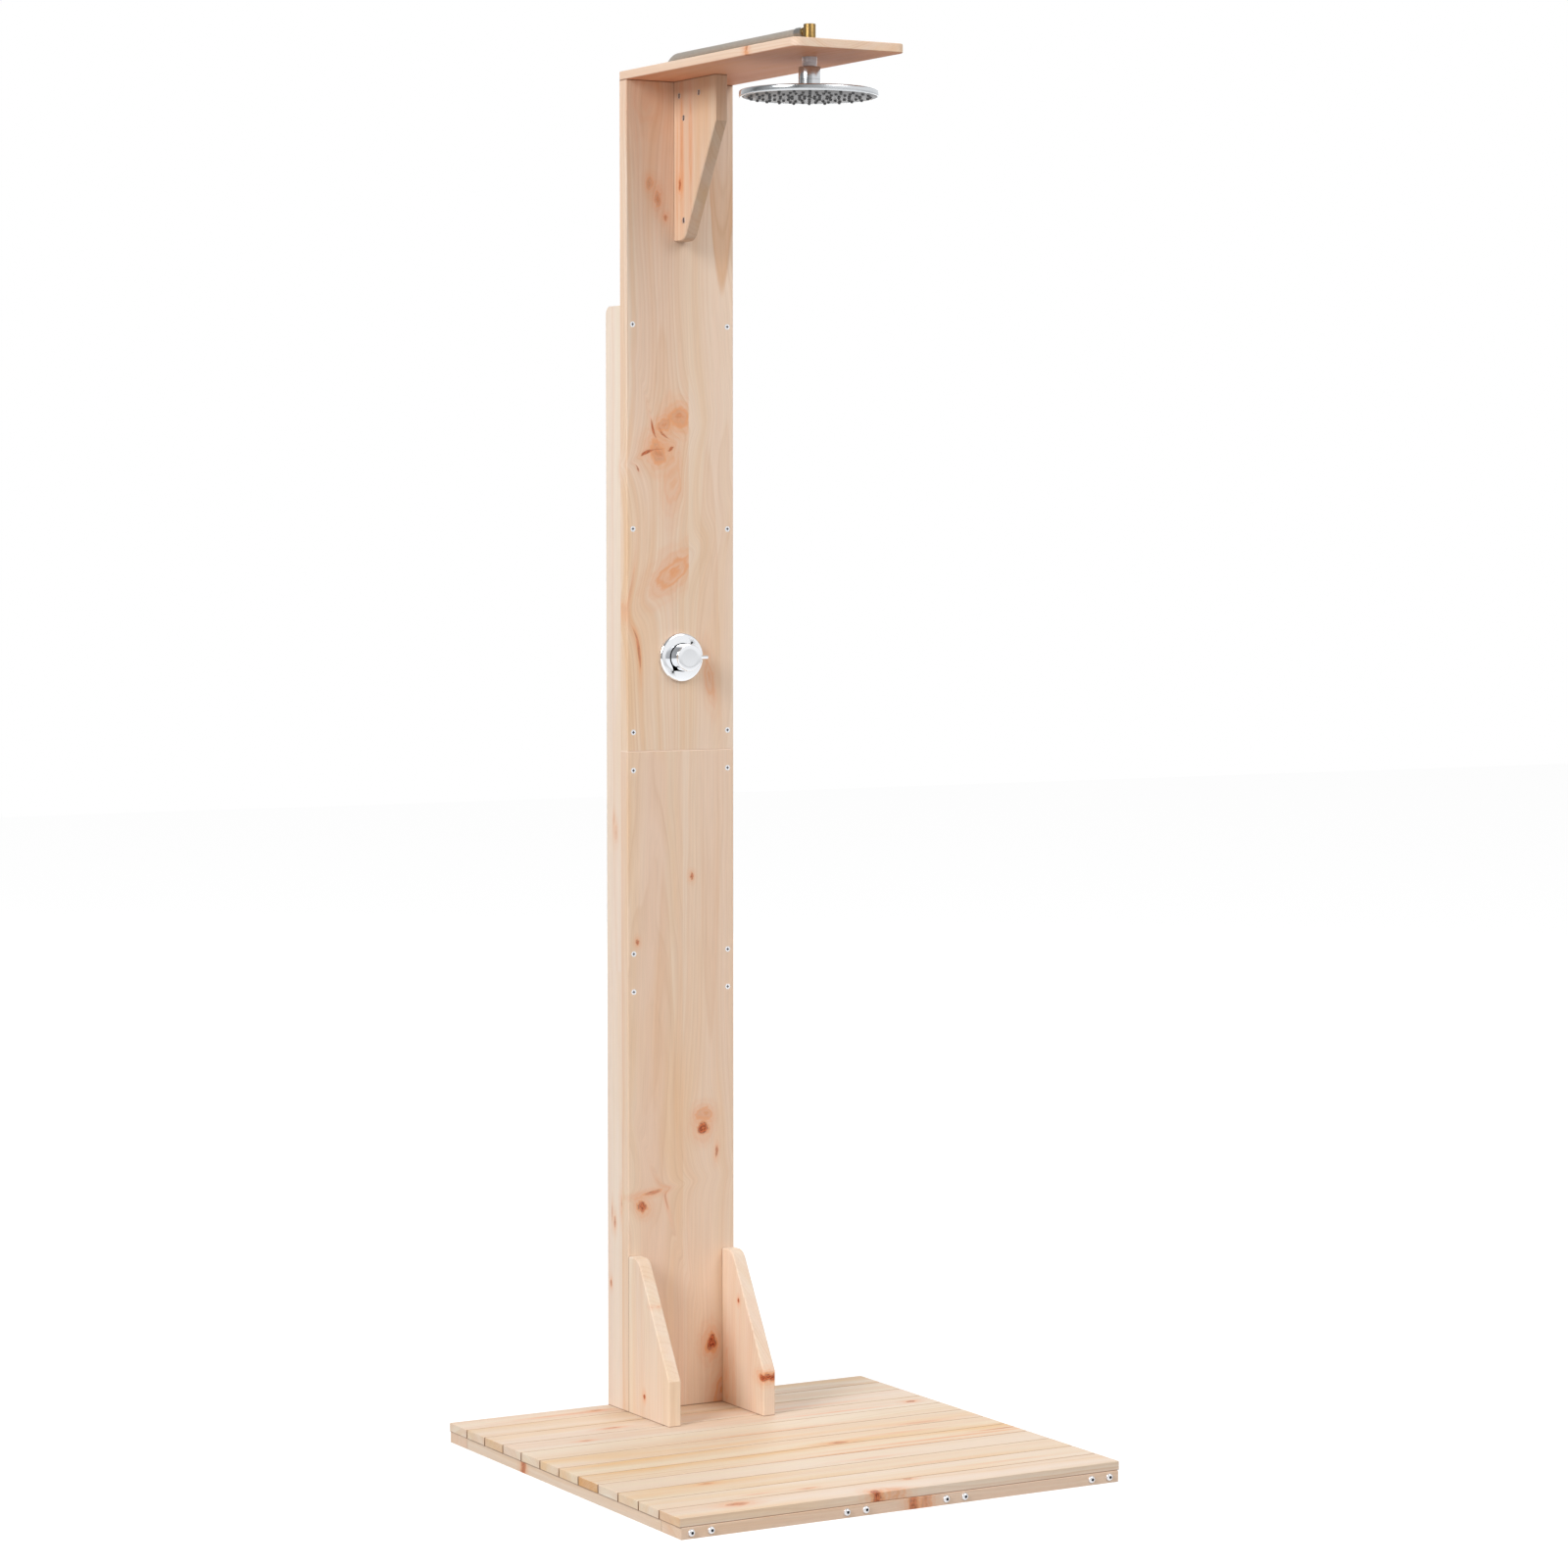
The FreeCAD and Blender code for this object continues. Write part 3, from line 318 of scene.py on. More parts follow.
def makePine(name, lie, seed, pith=(0, 90), gap=3.4, taper=0.01, late=0.5, tan=0.8, warm=0.4,
             tint=(1, 1, 1), knots=(), flames=(), stave=None, paintedJointLines=(), underShadeHeight=None, end=None):
    # all in millimetres. knots are (across, along, reach across, reach along, halo, core, lean in degrees);
    # flames are (across, along, half width, length, amount); a stave starts across at an edge with its own
    # pith; paintedJointLines are (axis, sign, place, width, tone) of a line at a joint, painted shade in the
    # dark tones and a painted highlight in the lit tone; underShadeHeight is the height of an underside
    # darkened and reddened as painted shade; end is the colour that darkens a board's left end
    material, tree, shader = newMaterial("pine_" + name)
    axes = addNode(tree, "SeparateXYZ",
                   {0: addNode(tree, "TexCoord").outputs["Object"]}).outputs
    laid = {k: axes[axis] for k, axis in enumerate(lies[lie])}
    place = addNode(tree, "CombineXYZ", laid).outputs[0]
    marks = []
    straight = place
    for k, (across, along, wide, long, halo, core, *lean) in enumerate(knots):
        knot = addNode(tree, "Group", node_tree=knotGroup)
        feed(tree, knot.inputs["Vector"], place)
        knot.inputs["Centre"].default_value = (across * mm, 0, along * mm)
        knot.inputs["Reach"].default_value = (wide * mm, wide * mm, long * mm)
        knot.inputs["Lean"].default_value = -math.radians(lean[0] if lean else 0)
        knot.inputs["Seed"].default_value = seed + 3.7 * k
        place = knot.outputs["Vector"]
        marks.append((knot.outputs, halo, core, across))
    grain = addNode(tree, "Group", node_tree=grainGroup)
    grain.inputs["Pith"].default_value = (pith[0] * mm, pith[1] * mm, 0)
    if stave:
        side = addNode(tree, "SeparateXYZ", {0: straight}).outputs[0]
        past = maths(tree, "GREATER_THAN", side, stave[0] * mm)
        hearts = addNode(tree, "Mix", data_type="VECTOR")
        feed(tree, hearts.inputs[0], past)
        feed(tree, hearts.inputs[4], (pith[0] * mm, pith[1] * mm, 0))
        feed(tree, hearts.inputs[5], (stave[1] * mm, stave[2] * mm, 0))
        feed(tree, grain.inputs["Pith"], hearts.outputs[1])
    feed(tree, grain.inputs["Vector"], place)
    grain.inputs["Gap"].default_value = gap * mm
    grain.inputs["Taper"].default_value = taper
    grain.inputs["Seed"].default_value = seed
    made = grain.outputs
    colour = blended(tree, times(tree, made["Band"], tan), pine["pale"], pine["tan"])
    colour = blended(tree, times(tree, made["Blush"], 0.55), colour, pine["blush"])
    colour = blended(tree, times(tree, made["Warm"], warm), colour, pine["warm"])
    colour = blended(tree, times(tree, made["Late"], late), colour, pine["late"])
    if stave:
        colour = blended(tree, times(tree, past, 0.25), colour, pine["pale"])
    for across, along, wide, long, amount in flames:
        flame = addNode(tree, "Group", {"Vector": straight, "Tip": (across * mm, 0, along * mm),
                        "Size": (wide * mm, 1, long * mm), "Seed": seed}, node_tree=flameGroup).outputs
        colour = blended(tree, times(tree, flame["Inside"], amount), colour, pine["flame"])
        colour = blended(tree, times(tree, flame["Line"], amount * 0.7), colour, pine["late"])
    # painted shade: the underside below this height is darkened and reddened
    if underShadeHeight:
        underShadeMask = maths(tree, "LESS_THAN", axes[2], (underShadeHeight + 0.4) * mm)
        colour = blended(tree, underShadeMask, colour, blended(tree, 1.0, colour, (0.95, 0.60, 0.45, 1), "MULTIPLY"))
    light = maths(tree, "MULTIPLY_ADD", made["Fibre"], 0.2, 0.9)
    light = addNode(tree, "CombineXYZ", {k: light for k in range(3)}).outputs[0]
    colour = blended(tree, 1.0, colour, light, "MULTIPLY")
    for knot, halo, core, across in marks:
        here = 1.0      # a knot ends where its own stave ends
        if stave:
            here = past if across > stave[0] else maths(tree, "SUBTRACT", 1.0, past)
        around = times(tree, times(tree, knot["Halo"], halo), here)
        colour = blended(tree, around, colour, pine["halo"])
        heart = ramp(tree, knot["Tone"], [(0.3, pine["knotDark"]), (0.62, pine["knotLight"])])
        middle = times(tree, times(tree, knot["Core"], core), here)
        colour = blended(tree, middle, colour, heart)
    if tint != (1, 1, 1):
        colour = blended(tree, 1.0, colour, (*tint, 1), "MULTIPLY")
    if end:
        outer = maths(tree, "LESS_THAN", axes[0], -(platformHalf - 0.4) * mm)
        colour = blended(tree, outer, colour, blended(tree, 1.0, colour, (*end, 1), "MULTIPLY"))
    # each line is painted shade along a joint, and a painted highlight where its tone is the lit one
    for axis, sign, edge, wide, tone in paintedJointLines:
        paintedJointMask = ramp(tree, maths(tree, "MULTIPLY_ADD", axes[axis], sign / (wide * mm), 1 - sign * edge / wide),
                    [(0.0, 0.0), (0.9, 0.85)])
        colour = blended(tree, paintedJointMask, colour, pine[tone])
    feed(tree, shader.inputs["Base Color"], colour)
    feed(tree, shader.inputs["Roughness"], maths(tree, "MULTIPLY_ADD", made["Fibre"], 0.15, 0.52))
    shader.inputs["Specular IOR Level"].default_value = 0.3
    bumped(tree, shader, maths(tree, "MULTIPLY_ADD", made["Late"], 0.5, made["Fibre"]), 0.25, 0.0003)
    return material


def dress(node, material):
    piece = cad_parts[node]
    piece.data.materials.clear()
    piece.data.materials.append(material)


# column: the boards' marks, and the paler battens behind their edges; the levels at which boards meet, with
# painted shade along the arm's underside and the deck and a painted highlight where the boards meet
deckTop, columnFront, armUnder, boardJoint, platformHalf = 29, 285, 1983, 1006, 350
dress("upper_board", makePine(
    "upperBoard", "upright", 11.0, pith=(-140, 345), gap=4.2, taper=0.012, late=0.6, tan=0.95,
    stave=(13.7, 60, 322), paintedJointLines=[("Z", 1, armUnder, 2.0, "seam"), ("Z", -1, boardJoint, 1.2, "lit")],
    flames=[(70, 1672, 30, 245, 0.7), (46, 1500, 26, -560, 0.22), (-30, 1640, 22, -260, 0.25)],
    knots=[(-38, 1443, 14, 12, 1.0, 0.3, 50), (-46, 1443, 2.8, 10, 0.5, 0.95, 60),
           (-34, 1449, 5, 4, 0.5, 0.95), (-8, 1495, 12, 13, 1.0, 0.2, 20),
           (-37, 1480, 1.8, 16, 0.4, 0.95, -20), (-27, 1472, 1.5, 9, 0.3, 0.9, -10),
           (-22, 1484, 6, 9, 0.95, 0.2, 30), (-3, 1487, 4, 5, 0.5, 1.0, -30), (-52, 1419, 1.6, 6, 0.3, 0.7),
           (-18, 1396, 8, 26, 0.5, 0.0), (-14, 1268, 12, 26, 0.95, 0.0, 45), (8, 1281, 4, 7, 0.8, 0.45),
           (-63, 1156, 2.2, 28, 0.6, 0.6), (-66, 1240, 2, 34, 0.5, 0.15), (-37, 1812, 5, 10, 0.8, 0.3),
           (-48, 1834, 5, 8, 0.7, 0.2), (-28, 1786, 3.4, 5, 0.7, 0.5), (45, 1112, 6, 24, 0.7, 0.05, -10),
           # the next entry is no knot but painted shade: a wide halo-only mark left of the bracket just under
           # the arm
           (-52, 1956, 22, 34, 0.3, 0.0)]))
dress("lower_board", makePine(
    "lowerBoard", "upright", 23.0, pith=(-60, 420), gap=4.6, taper=0.004, late=0.55, tan=0.95,
    stave=(3.0, 140, 380), paintedJointLines=[("Z", 1, boardJoint, 1.2, "lit"), ("Z", -1, deckTop, 2.0, "seam")],
    flames=[(-28, 820, 22, -420, 0.25), (50, 560, 20, 380, 0.2)],
    knots=[(18, 819, 3.2, 5, 0.7, 0.7), (-73, 725, 3, 4.5, 0.7, 0.7), (36, 443, 9.5, 10.5, 0.8, 1.0),
           (38, 465, 8, 8, 0.75, 0.15), (55, 407, 2.6, 9, 0.6, 0.6), (-64, 333, 9, 7, 0.85, 0.8, 55),
           (-50, 353, 3, 14, 0.7, 0.5, 80), (-30, 340, 2, 22, 0.45, 0.35, -20), (48, 120, 8.5, 14, 1.0, 1.0),
           (64, 50, 8, 24, 0.9, 0.1, 15)]))
battenKnots = {"left_upper_batten": [(299, 1366, 2.6, 7, 0.9, 0.9), (302, 1420, 4, 9, 0.5, 0.1),
                                     (322, 885, 5, 9, 0.45, 0.1), (326, 905, 2, 8, 0.4, 0.1)],
               "left_lower_batten": [(302, 334, 5, 15, 0.8, 0.6), (326, 306, 4, 9, 0.6, 0.5),
                                     (333, 320, 2, 12, 0.5, 0.4), (338.6, 214, 2.6, 6, 0.7, 0.7)]}
battens = ("left_upper_batten", "left_lower_batten", "right_upper_batten", "right_lower_batten")
# the lower battens' line at the deck is painted shade
for k, node in enumerate(battens):
    dress(node, makePine(
        node.replace("_", ""), "edgewise", 31.0 + 5 * k, pith=(400, -100 + 40 * k), gap=4.2, late=0.3,
        tan=0.35, warm=0.2, tint=(1.03, 1.12, 1.2), knots=battenKnots.get(node, []),
        paintedJointLines=[("Z", -1, deckTop, 1.6, "seam")] if "lower" in node else []))

# gussets and bracket
gussetKnots = {"left_gusset": [(206, 206, 3.6, 4, 0.9, 0.8), (209, 196, 7, 2.4, 0.5, 0.5),
                               (236, 60.6, 3, 5, 0.9, 1.0)],
               "right_gusset": [(235.6, 189, 2.8, 4, 0.9, 1.0), (164, 86, 10, 6, 1.0, 1.0),
                                (270, 70, 7, 34, 0.55, 0.0), (250, 60, 5, 40, 0.4, 0.0)],
               "arm_bracket": [(267, 1833, 4.2, 9, 1.0, 1.0), (262, 1885, 3.4, 60, 0.85, 0.12),
                               (236, 1890, 4, 50, 0.7, 0.0), (272, 1850, 2, 60, 0.5, 0.1)]}
for k, (node, knots) in enumerate(gussetKnots.items()):
    bracket = node == "arm_bracket"
    # painted shade along the joint with the column, and along the deck for a gusset and the arm for the
    # bracket
    jointShadeLines = [("Y", 1, columnFront, 1.6, "seam"),
               ("Z", 1, armUnder, 2.0, "seam") if bracket else ("Z", -1, deckTop, 1.6, "seam")]
    dress(node, makePine(
        node.replace("_", ""), "edgewise", 51.0 + 7 * k, pith=(120, 60 * k - 90), gap=4.0, knots=knots,
        warm=0.75 if bracket else 0.4 + 0.15 * k, tan=0.8 if bracket else 0.5,
        # the bracket's darker tint is partly the board's own tone and partly painted shade under the arm
        tint=(0.885, 0.855, 0.81) if bracket else (1.01, 1.07, 1.11), paintedJointLines=jointShadeLines))

# arm: its underside is darkened and reddened as painted shade
dress("arm_board", makePine(
    "armBoard", "flatY", 77.0, pith=(-20, 2075), gap=3.4, taper=0.02, late=0.7, warm=0.5, underShadeHeight=armUnder,
    knots=[(-86, -69, 3.6, 6, 1.0, 0.85), (15, 60, 4, 12, 0.5, 0.2), (20, -20, 3, 40, 0.4, 0.0)]))

# deck: slats from the front (01) to the back (12), each from its own board
deckKnots = {1: [(-314.7, -243.6, 8, 16, 0.95, 0.5), (-300, 35, 3.4, 9, 0.9, 0.6),
                 (-346, -45, 11, 10, 1.0, 1.0), (-346, -14, 7, 12, 0.8, 0.1)],
             2: [(-281, -114, 3.4, 12, 0.7, 0.25), (-276, -190, 2.4, 16, 0.6, 0.1),
                 (-270, 210, 2, 40, 0.4, 0.0)],
             3: [(-187, -218.7, 4.6, 12, 0.7, 0.4), (-225, 120, 3, 40, 0.5, 0.0)],
             4: [(-107, -235.8, 4, 11, 1.0, 1.0), (-160, 60, 3, 30, 0.5, 0.1)],
             5: [(-97, 235, 2.6, 110, 0.9, 0.1), (-85, 325, 2.2, 34, 1.0, 0.75),
                 (-112, 120, 2.4, 110, 0.7, 0.0)],
             6: [(-50, 73, 5, 18, 0.85, 0.6), (-35, 180, 3, 50, 0.6, 0.0), (-60, -60, 3, 60, 0.6, 0.0)],
             7: [(10, 250, 4, 34, 0.6, 0.2), (-10, -120, 3, 70, 0.7, 0.0)],
             8: [(125, -273, 3.4, 10, 0.75, 0.2), (60, 20, 3, 70, 0.7, 0.0)],
             9: [(141, -235, 3.4, 10, 0.8, 0.35), (145, 314, 5, 9, 1.0, 0.85),
                 (135, 190, 2.4, 60, 0.8, 0.0)],
             10: [(200, -162, 3.4, 14, 0.9, 0.5), (190, 180, 3, 60, 0.6, 0.0)],
             11: [(230, 100, 4, 12, 0.4, 0.0)],
             12: [(321, -124, 4.6, 10, 0.9, 0.5), (318, -175, 3.4, 50, 0.8, 0.1)]}
# each slat's own tint and warmth, and what all of them share
slatLooks = [((1.0, 1.06, 1.12), 0.5), ((1.0, 1.06, 1.1), 0.3), ((0.99, 1.03, 1.02), 0.6),
             ((1.0, 1.08, 1.15), 0.2), ((1.0, 1.03, 1.0), 1.0), ((1.0, 1.03, 1.0), 1.0),
             ((1.0, 1.04, 1.04), 0.8), ((1.0, 1.06, 1.08), 0.5), ((1.0, 1.06, 1.12), 0.4),
             ((1.0, 1.06, 1.12), 0.4), ((1.0, 1.05, 1.08), 0.6), ((1.0, 1.05, 1.08), 0.7)]
deckTint, deckWarm = (1.0, 1.02, 1.01), 0.1
slatEnds = {1: (0.95, 0.84, 0.72), 5: (0.88, 0.70, 0.52), 10: (0.93, 0.84, 0.72)}
for k in range(1, 13):
    node = "slat_%02d" % k
    nearY, farY, bottom = edgesOf(node)[2:5]
    middle = (nearY + farY) / 2
    # painted shade: a dark line along each slat's bottom edge, and the gap tone along its sides where it
    # meets its neighbours
    sides = [("Z", -1, bottom, 0.9, "seam")]
    sides += [("Y", -1, nearY, 0.5, "gap")] if k > 1 else []
    sides += [("Y", 1, farY, 0.5, "gap")] if k < 12 else []
    ownTint, ownWarm = slatLooks[k - 1]
    dress(node, makePine(
        "slat%02d" % k, "flatX", 90.0 + 4.3 * k, gap=3.6, taper=0.01 * math.sin(k), late=0.75,
        pith=(middle + 70 * math.sin(2.4 * k), -40 - 30 * math.cos(1.7 * k)), warm=ownWarm + deckWarm,
        tint=tuple(own * shared for own, shared in zip(ownTint, deckTint)),
        knots=deckKnots.get(k, []), paintedJointLines=sides, end=slatEnds.get(k)))

# frame below the deck, with painted shade along its top and the rails' edges
rail = edgesOf("front_rail")
frameTop = rail[5]
beams = ("left_outer_beam", "left_inner_beam", "right_inner_beam", "right_outer_beam")
frameKnots = {"front_rail": [(-348, 12, 10, 8, 0.95, 0.75), (-348, 32, 6, 8, 0.8, 0.3)],
              "left_outer_beam": [(-348, 114, 10, 7, 0.95, 0.7)]}
for k, (node, sign, edge) in enumerate((("front_rail", 1, 3), ("back_rail", -1, 2))):
    dress(node, makePine(
        node.replace("_", ""), "flatX", 151.0 + 6 * k, pith=(-300, -60), gap=3.6, late=0.4,
        knots=frameKnots.get(node, []),
        paintedJointLines=[("Z", 1, frameTop, 1.0, "seam"), ("Y", sign, edgesOf(node)[edge], 1.4, "seam")]))
for k, node in enumerate(beams):
    dress(node, makePine(
        node.replace("_", ""), "flatY", 171.0 + 6 * k, pith=(-260 + 160 * k, -50), gap=3.6, late=0.4,
        tint=(1.0, 1.05, 1.08), paintedJointLines=[("Z", 1, frameTop, 2.2, "seam")], knots=frameKnots.get(node, [])))
print("pine dressed")


# Metals, rubber, plastic and ceramic
def metal(name, colour, roughness, smear=0.0, bump=0.0, metallic=1.0):
    material, tree, shader = newMaterial(name)
    place = addNode(tree, "TexCoord").outputs["Object"]
    cloud = noise(tree, place, 55.0, 3)["Fac"]
    grit = noise(tree, place, 2600.0, 2)["Fac"]
    dull = tuple(c * (1 - smear) for c in colour) + (1,)
    feed(tree, shader.inputs["Base Color"], blended(tree, cloud, colour + (1,), dull))
    feed(tree, shader.inputs["Roughness"],
         maths(tree, "MULTIPLY_ADD", cloud, 0.35 * roughness + 0.02, 0.75 * roughness))
    shader.inputs["Metallic"].default_value = metallic
    if bump:
        bumped(tree, shader, grit, bump, 0.0001)
    return material


def matte(name, colour, roughness, scale=900.0, spread=0.12, bump=0.15):
    material, tree, shader = newMaterial(name)
    place = addNode(tree, "TexCoord").outputs["Object"]
    speck = noise(tree, place, scale, 3)["Fac"]
    dark = tuple(c * (1 - spread) for c in colour) + (1,)
    feed(tree, shader.inputs["Base Color"], blended(tree, speck, dark, colour + (1,)))
    shader.inputs["Roughness"].default_value = roughness
    bumped(tree, shader, speck, bump, 0.0001)
    return material


chrome = metal("chrome", (0.87, 0.885, 0.91), 0.06, smear=0.03)
headChrome = metal("headChrome", (0.66, 0.685, 0.71), 0.2, smear=0.04)
zinc = metal("zincSteel", (0.84, 0.84, 0.86), 0.3, smear=0.12, bump=0.1, metallic=0.8)
socketShade = metal("socketShade", (0.10, 0.09, 0.09), 0.6, smear=0.2, bump=0.2, metallic=0.4)
satinPlate = metal("satinPlate", (0.62, 0.62, 0.61), 0.3, smear=0.1, bump=0.1)
brass = metal("bareBrass", (0.31, 0.20, 0.073), 0.42, smear=0.15, bump=0.25)
crimp = metal("crimpedSteel", (0.42, 0.41, 0.39), 0.4, smear=0.15, bump=0.2)
sprayGrey = metal("sprayGrey", (0.165, 0.165, 0.17), 0.42, smear=0.1, bump=0.15, metallic=0.7)
silicone = matte("silicone", (0.15, 0.15, 0.155), 0.6)
ivoryPlastic = matte("ivoryPlastic", (0.74, 0.73, 0.68), 0.4)
ceramic = matte("lappedCeramic", (0.85, 0.85, 0.82), 0.2, spread=0.04, bump=0.03)
braid = {"strands": 12, "pitch": 7, "strand": (0.56, 0.51, 0.45, 1), "gap": (0.27, 0.24, 0.21, 1)}


def makeBraid():
    # two families of strands crossing at an angle, from the hose's own UV map
    material, tree, shader = newMaterial("hoseBraid")
    uv = addNode(tree, "TexCoord").outputs["UV"]
    uv = addNode(tree, "SeparateXYZ", {0: uv}).outputs
    about = times(tree, uv[0], braid["strands"] * 2 * math.pi)
    run = times(tree, uv[1], 2 * math.pi / (braid["pitch"] * mm))
    one = maths(tree, "SINE", maths(tree, "ADD", about, run))
    two = maths(tree, "SINE", maths(tree, "SUBTRACT", about, run))
    weave = times(tree, one, two)
    strand = maths(tree, "MULTIPLY_ADD", weave, 0.5, 0.5)
    thread = maths(tree, "SINE", times(tree, maths(tree, "ADD", about, run), 4.0))
    relief = maths(tree, "MULTIPLY_ADD", thread, 0.12, strand)
    colour = blended(tree, strand, braid["gap"], braid["strand"])
    feed(tree, shader.inputs["Base Color"], colour)
    shader.inputs["Roughness"].default_value = 0.5
    shader.inputs["Metallic"].default_value = 0.25
    bumped(tree, shader, relief, 0.6, 0.0004)
    return material


hoseBraid = makeBraid()
for node, material in (("seal_washers", silicone), ("valve_gasket", silicone), ("cartridge", ivoryPlastic),
                       ("fixed_disc", ceramic), ("moving_disc", ceramic), ("spindle", brass)):
    dress(node, material)
print("metals and plastics mixed")


# Turned and milled shapes: rings stacked along Z and bridged, then placed
def ring(bm, radius, height, sides, flats=0, lobes=0, depth=0.0):
    made = bmesh.ops.create_circle(bm, radius=radius * mm, segments=sides,
                                   matrix=Matrix.Translation((0, 0, height * mm)))["verts"]
    for vert in made if flats or lobes else ():
        angle = math.atan2(vert.co.y, vert.co.x)
        if flats:   # radius is then half the distance across the flats
            step = 2 * math.pi / flats
            grow = 1 / math.cos((angle + step / 2) % step - step / 2)
        else:
            grow = 1 - depth * (0.5 - 0.5 * math.cos(lobes * angle))
        vert.co.x *= grow
        vert.co.y *= grow
    found = set(made)
    return [e for e in bm.edges if e.verts[0] in found and e.verts[1] in found]


def settle(bm, old, at, facing):
    # turns what is new in the mesh from up to its facing, and sets it at its place
    over = Matrix.Rotation(math.pi, 4, "X")
    turn = over if facing == down else up.rotation_difference(facing).to_matrix().to_4x4()
    bmesh.ops.transform(bm, matrix=Matrix.Translation(Vector(at) * mm) @ turn,
                        verts=[v for v in bm.verts if v not in old])


def tower(bm, steps, sides=48, at=(0, 0, 0), facing=up, caps=(True, True), shaded=0):
    # steps are (radius, height) or (radius, height, shape settings), in millimetres; the last few,
    # as many as shaded says, take the piece's second material
    old = set(bm.verts)
    loops = [ring(bm, radius, height, sides, **(shape[0] if shape else {}))
             for radius, height, *shape in steps]
    plain = set(bm.faces)
    for k, (lower, upper) in enumerate(zip(loops, loops[1:])):
        if k == len(loops) - 1 - shaded:
            plain = set(bm.faces)
        bmesh.ops.bridge_loops(bm, edges=lower + upper)
    for loop, capped in ((loops[0], caps[0]), (loops[-1], caps[1])):
        if capped:
            bmesh.ops.contextual_create(bm, geom=loop)
    for face in bm.faces if shaded else ():
        if face not in plain:
            face.material_index = 1
    settle(bm, old, at, facing)


def quarter(radius, foot, wide, tall):
    # a quarter round, from an upright side at its foot to a flat top
    turns = [math.radians(a) for a in range(0, 91, 15)]
    return [(radius - wide * (1 - math.cos(a)), foot + tall * math.sin(a)) for a in turns]


def eased(radius, top, edge):
    # a small rounded outer edge below a flat top
    return [(radius, top - edge), (radius - edge * 0.3, top - edge * 0.3), (radius - edge, top)]


def finished(name, bm, material, body, nodes=(), angle=32, second=None):
    bmesh.ops.remove_doubles(bm, verts=bm.verts, dist=1e-6)
    bmesh.ops.recalc_face_normals(bm, faces=bm.faces)
    mesh = bpy.data.meshes.new(name)
    bm.to_mesh(mesh)
    bm.free()
    mesh.polygons.foreach_set("use_smooth", [True] * len(mesh.polygons))
    mesh.set_sharp_from_angle(angle=math.radians(angle))
    mesh.materials.append(material)
    if second:
        mesh.materials.append(second)
    piece = bpy.data.objects.new(name, mesh)
    scene.collection.objects.link(piece)
    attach(piece, body)
    if nodes:
        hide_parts(*nodes)


def turned(node, steps, sides, at, facing, look, body="stand", caps=(True, True), angle=32):
    # a piece made as one tower, which takes its name from the node it replaces
    first, *rest = node.split("_")
    bm = bmesh.new()
    tower(bm, steps, sides, at, facing, caps)
    finished(first + "".join(word.title() for word in rest), bm, look, body, [node], angle)


# Fasteners
button = {"head": 5.25, "rise": 3.3, "socket": 2.0, "socketDeep": 2.0, "shank": 3.0, "edge": 0.5}
flatHead = {"lip": 0.15, "recess": 2.4, "recessDeep": 1.8}
hexagon, cross, slit = {"flats": 6}, {"lobes": 4, "depth": 0.6}, {"lobes": 2, "depth": 0.72}
hollow = (False, False)     # a tower whose last ring meets its first has no caps


def addButton(bm, at, facing, grip):
    b = button
    steps = [(b["shank"], -grip), (b["shank"], 0), (b["head"], 0), (b["head"], b["edge"]),
             (b["head"] * 0.93, b["rise"] * 0.5), (b["head"] * 0.72, b["rise"] * 0.85),
             (b["head"] * 0.52, b["rise"]), (b["socket"], b["rise"], hexagon),
             (b["socket"], b["rise"] - b["socketDeep"], hexagon)]
    tower(bm, steps, 24, at, facing, shaded=1)


def addFlatHead(bm, at, facing, screw):
    f, head, shank, long = flatHead, screw["head"], screw["shank"], screw["long"]
    steps = [(shank * 0.3, -long), (shank, -long + 2 * shank), (shank, -(head - shank)), (head, -f["lip"]),
             (head - f["lip"], 0), (f["recess"], -0.05, cross), (f["recess"] * 0.55, -f["recessDeep"], cross)]
    tower(bm, steps, 24, at, facing, shaded=1)


def zincPiece(name, bm, nodes=()):
    finished(name, bm, zinc, "stand", nodes, second=socketShade)


panel, arm = edgesOf("upper_board"), edgesOf("arm_board")
panelFront, panelBack = panel[2], panel[3]
frameJoint = {"pitch": 30, "grip": 78, "railDepth": 56, "setback": 18}
bolts = bmesh.new()
boltX = [sum(edgesOf(beam)[0:2]) / 2 + side * frameJoint["pitch"] / 2 for beam in beams for side in (-1, 1)]
boltZ = frameTop / 2
for x in boltX:
    addButton(bolts, (x, rail[2], boltZ), front, frameJoint["grip"])
    addButton(bolts, (x, -rail[2], boltZ), back, frameJoint["grip"])
zincPiece("frameBolts", bolts, ["frame_bolts"])

# the bracket's bolts and nuts: two down through the arm, two forward through the column
bracketSpots = {"armReach": (16, 75), "armGrip": 38.5, "armDrop": 22,
                "columnDrop": (55, 203), "columnGrip": 53, "columnIn": 29}
armBolts = bmesh.new()
for reach in bracketSpots["armReach"]:
    addButton(armBolts, (0, panelFront - reach, arm[5]), up, bracketSpots["armGrip"])
for drop in bracketSpots["columnDrop"]:
    addButton(armBolts, (0, panelBack, arm[4] - drop), back, bracketSpots["columnGrip"])
zincPiece("bracketBolts", armBolts, ["bracket_bolts"])

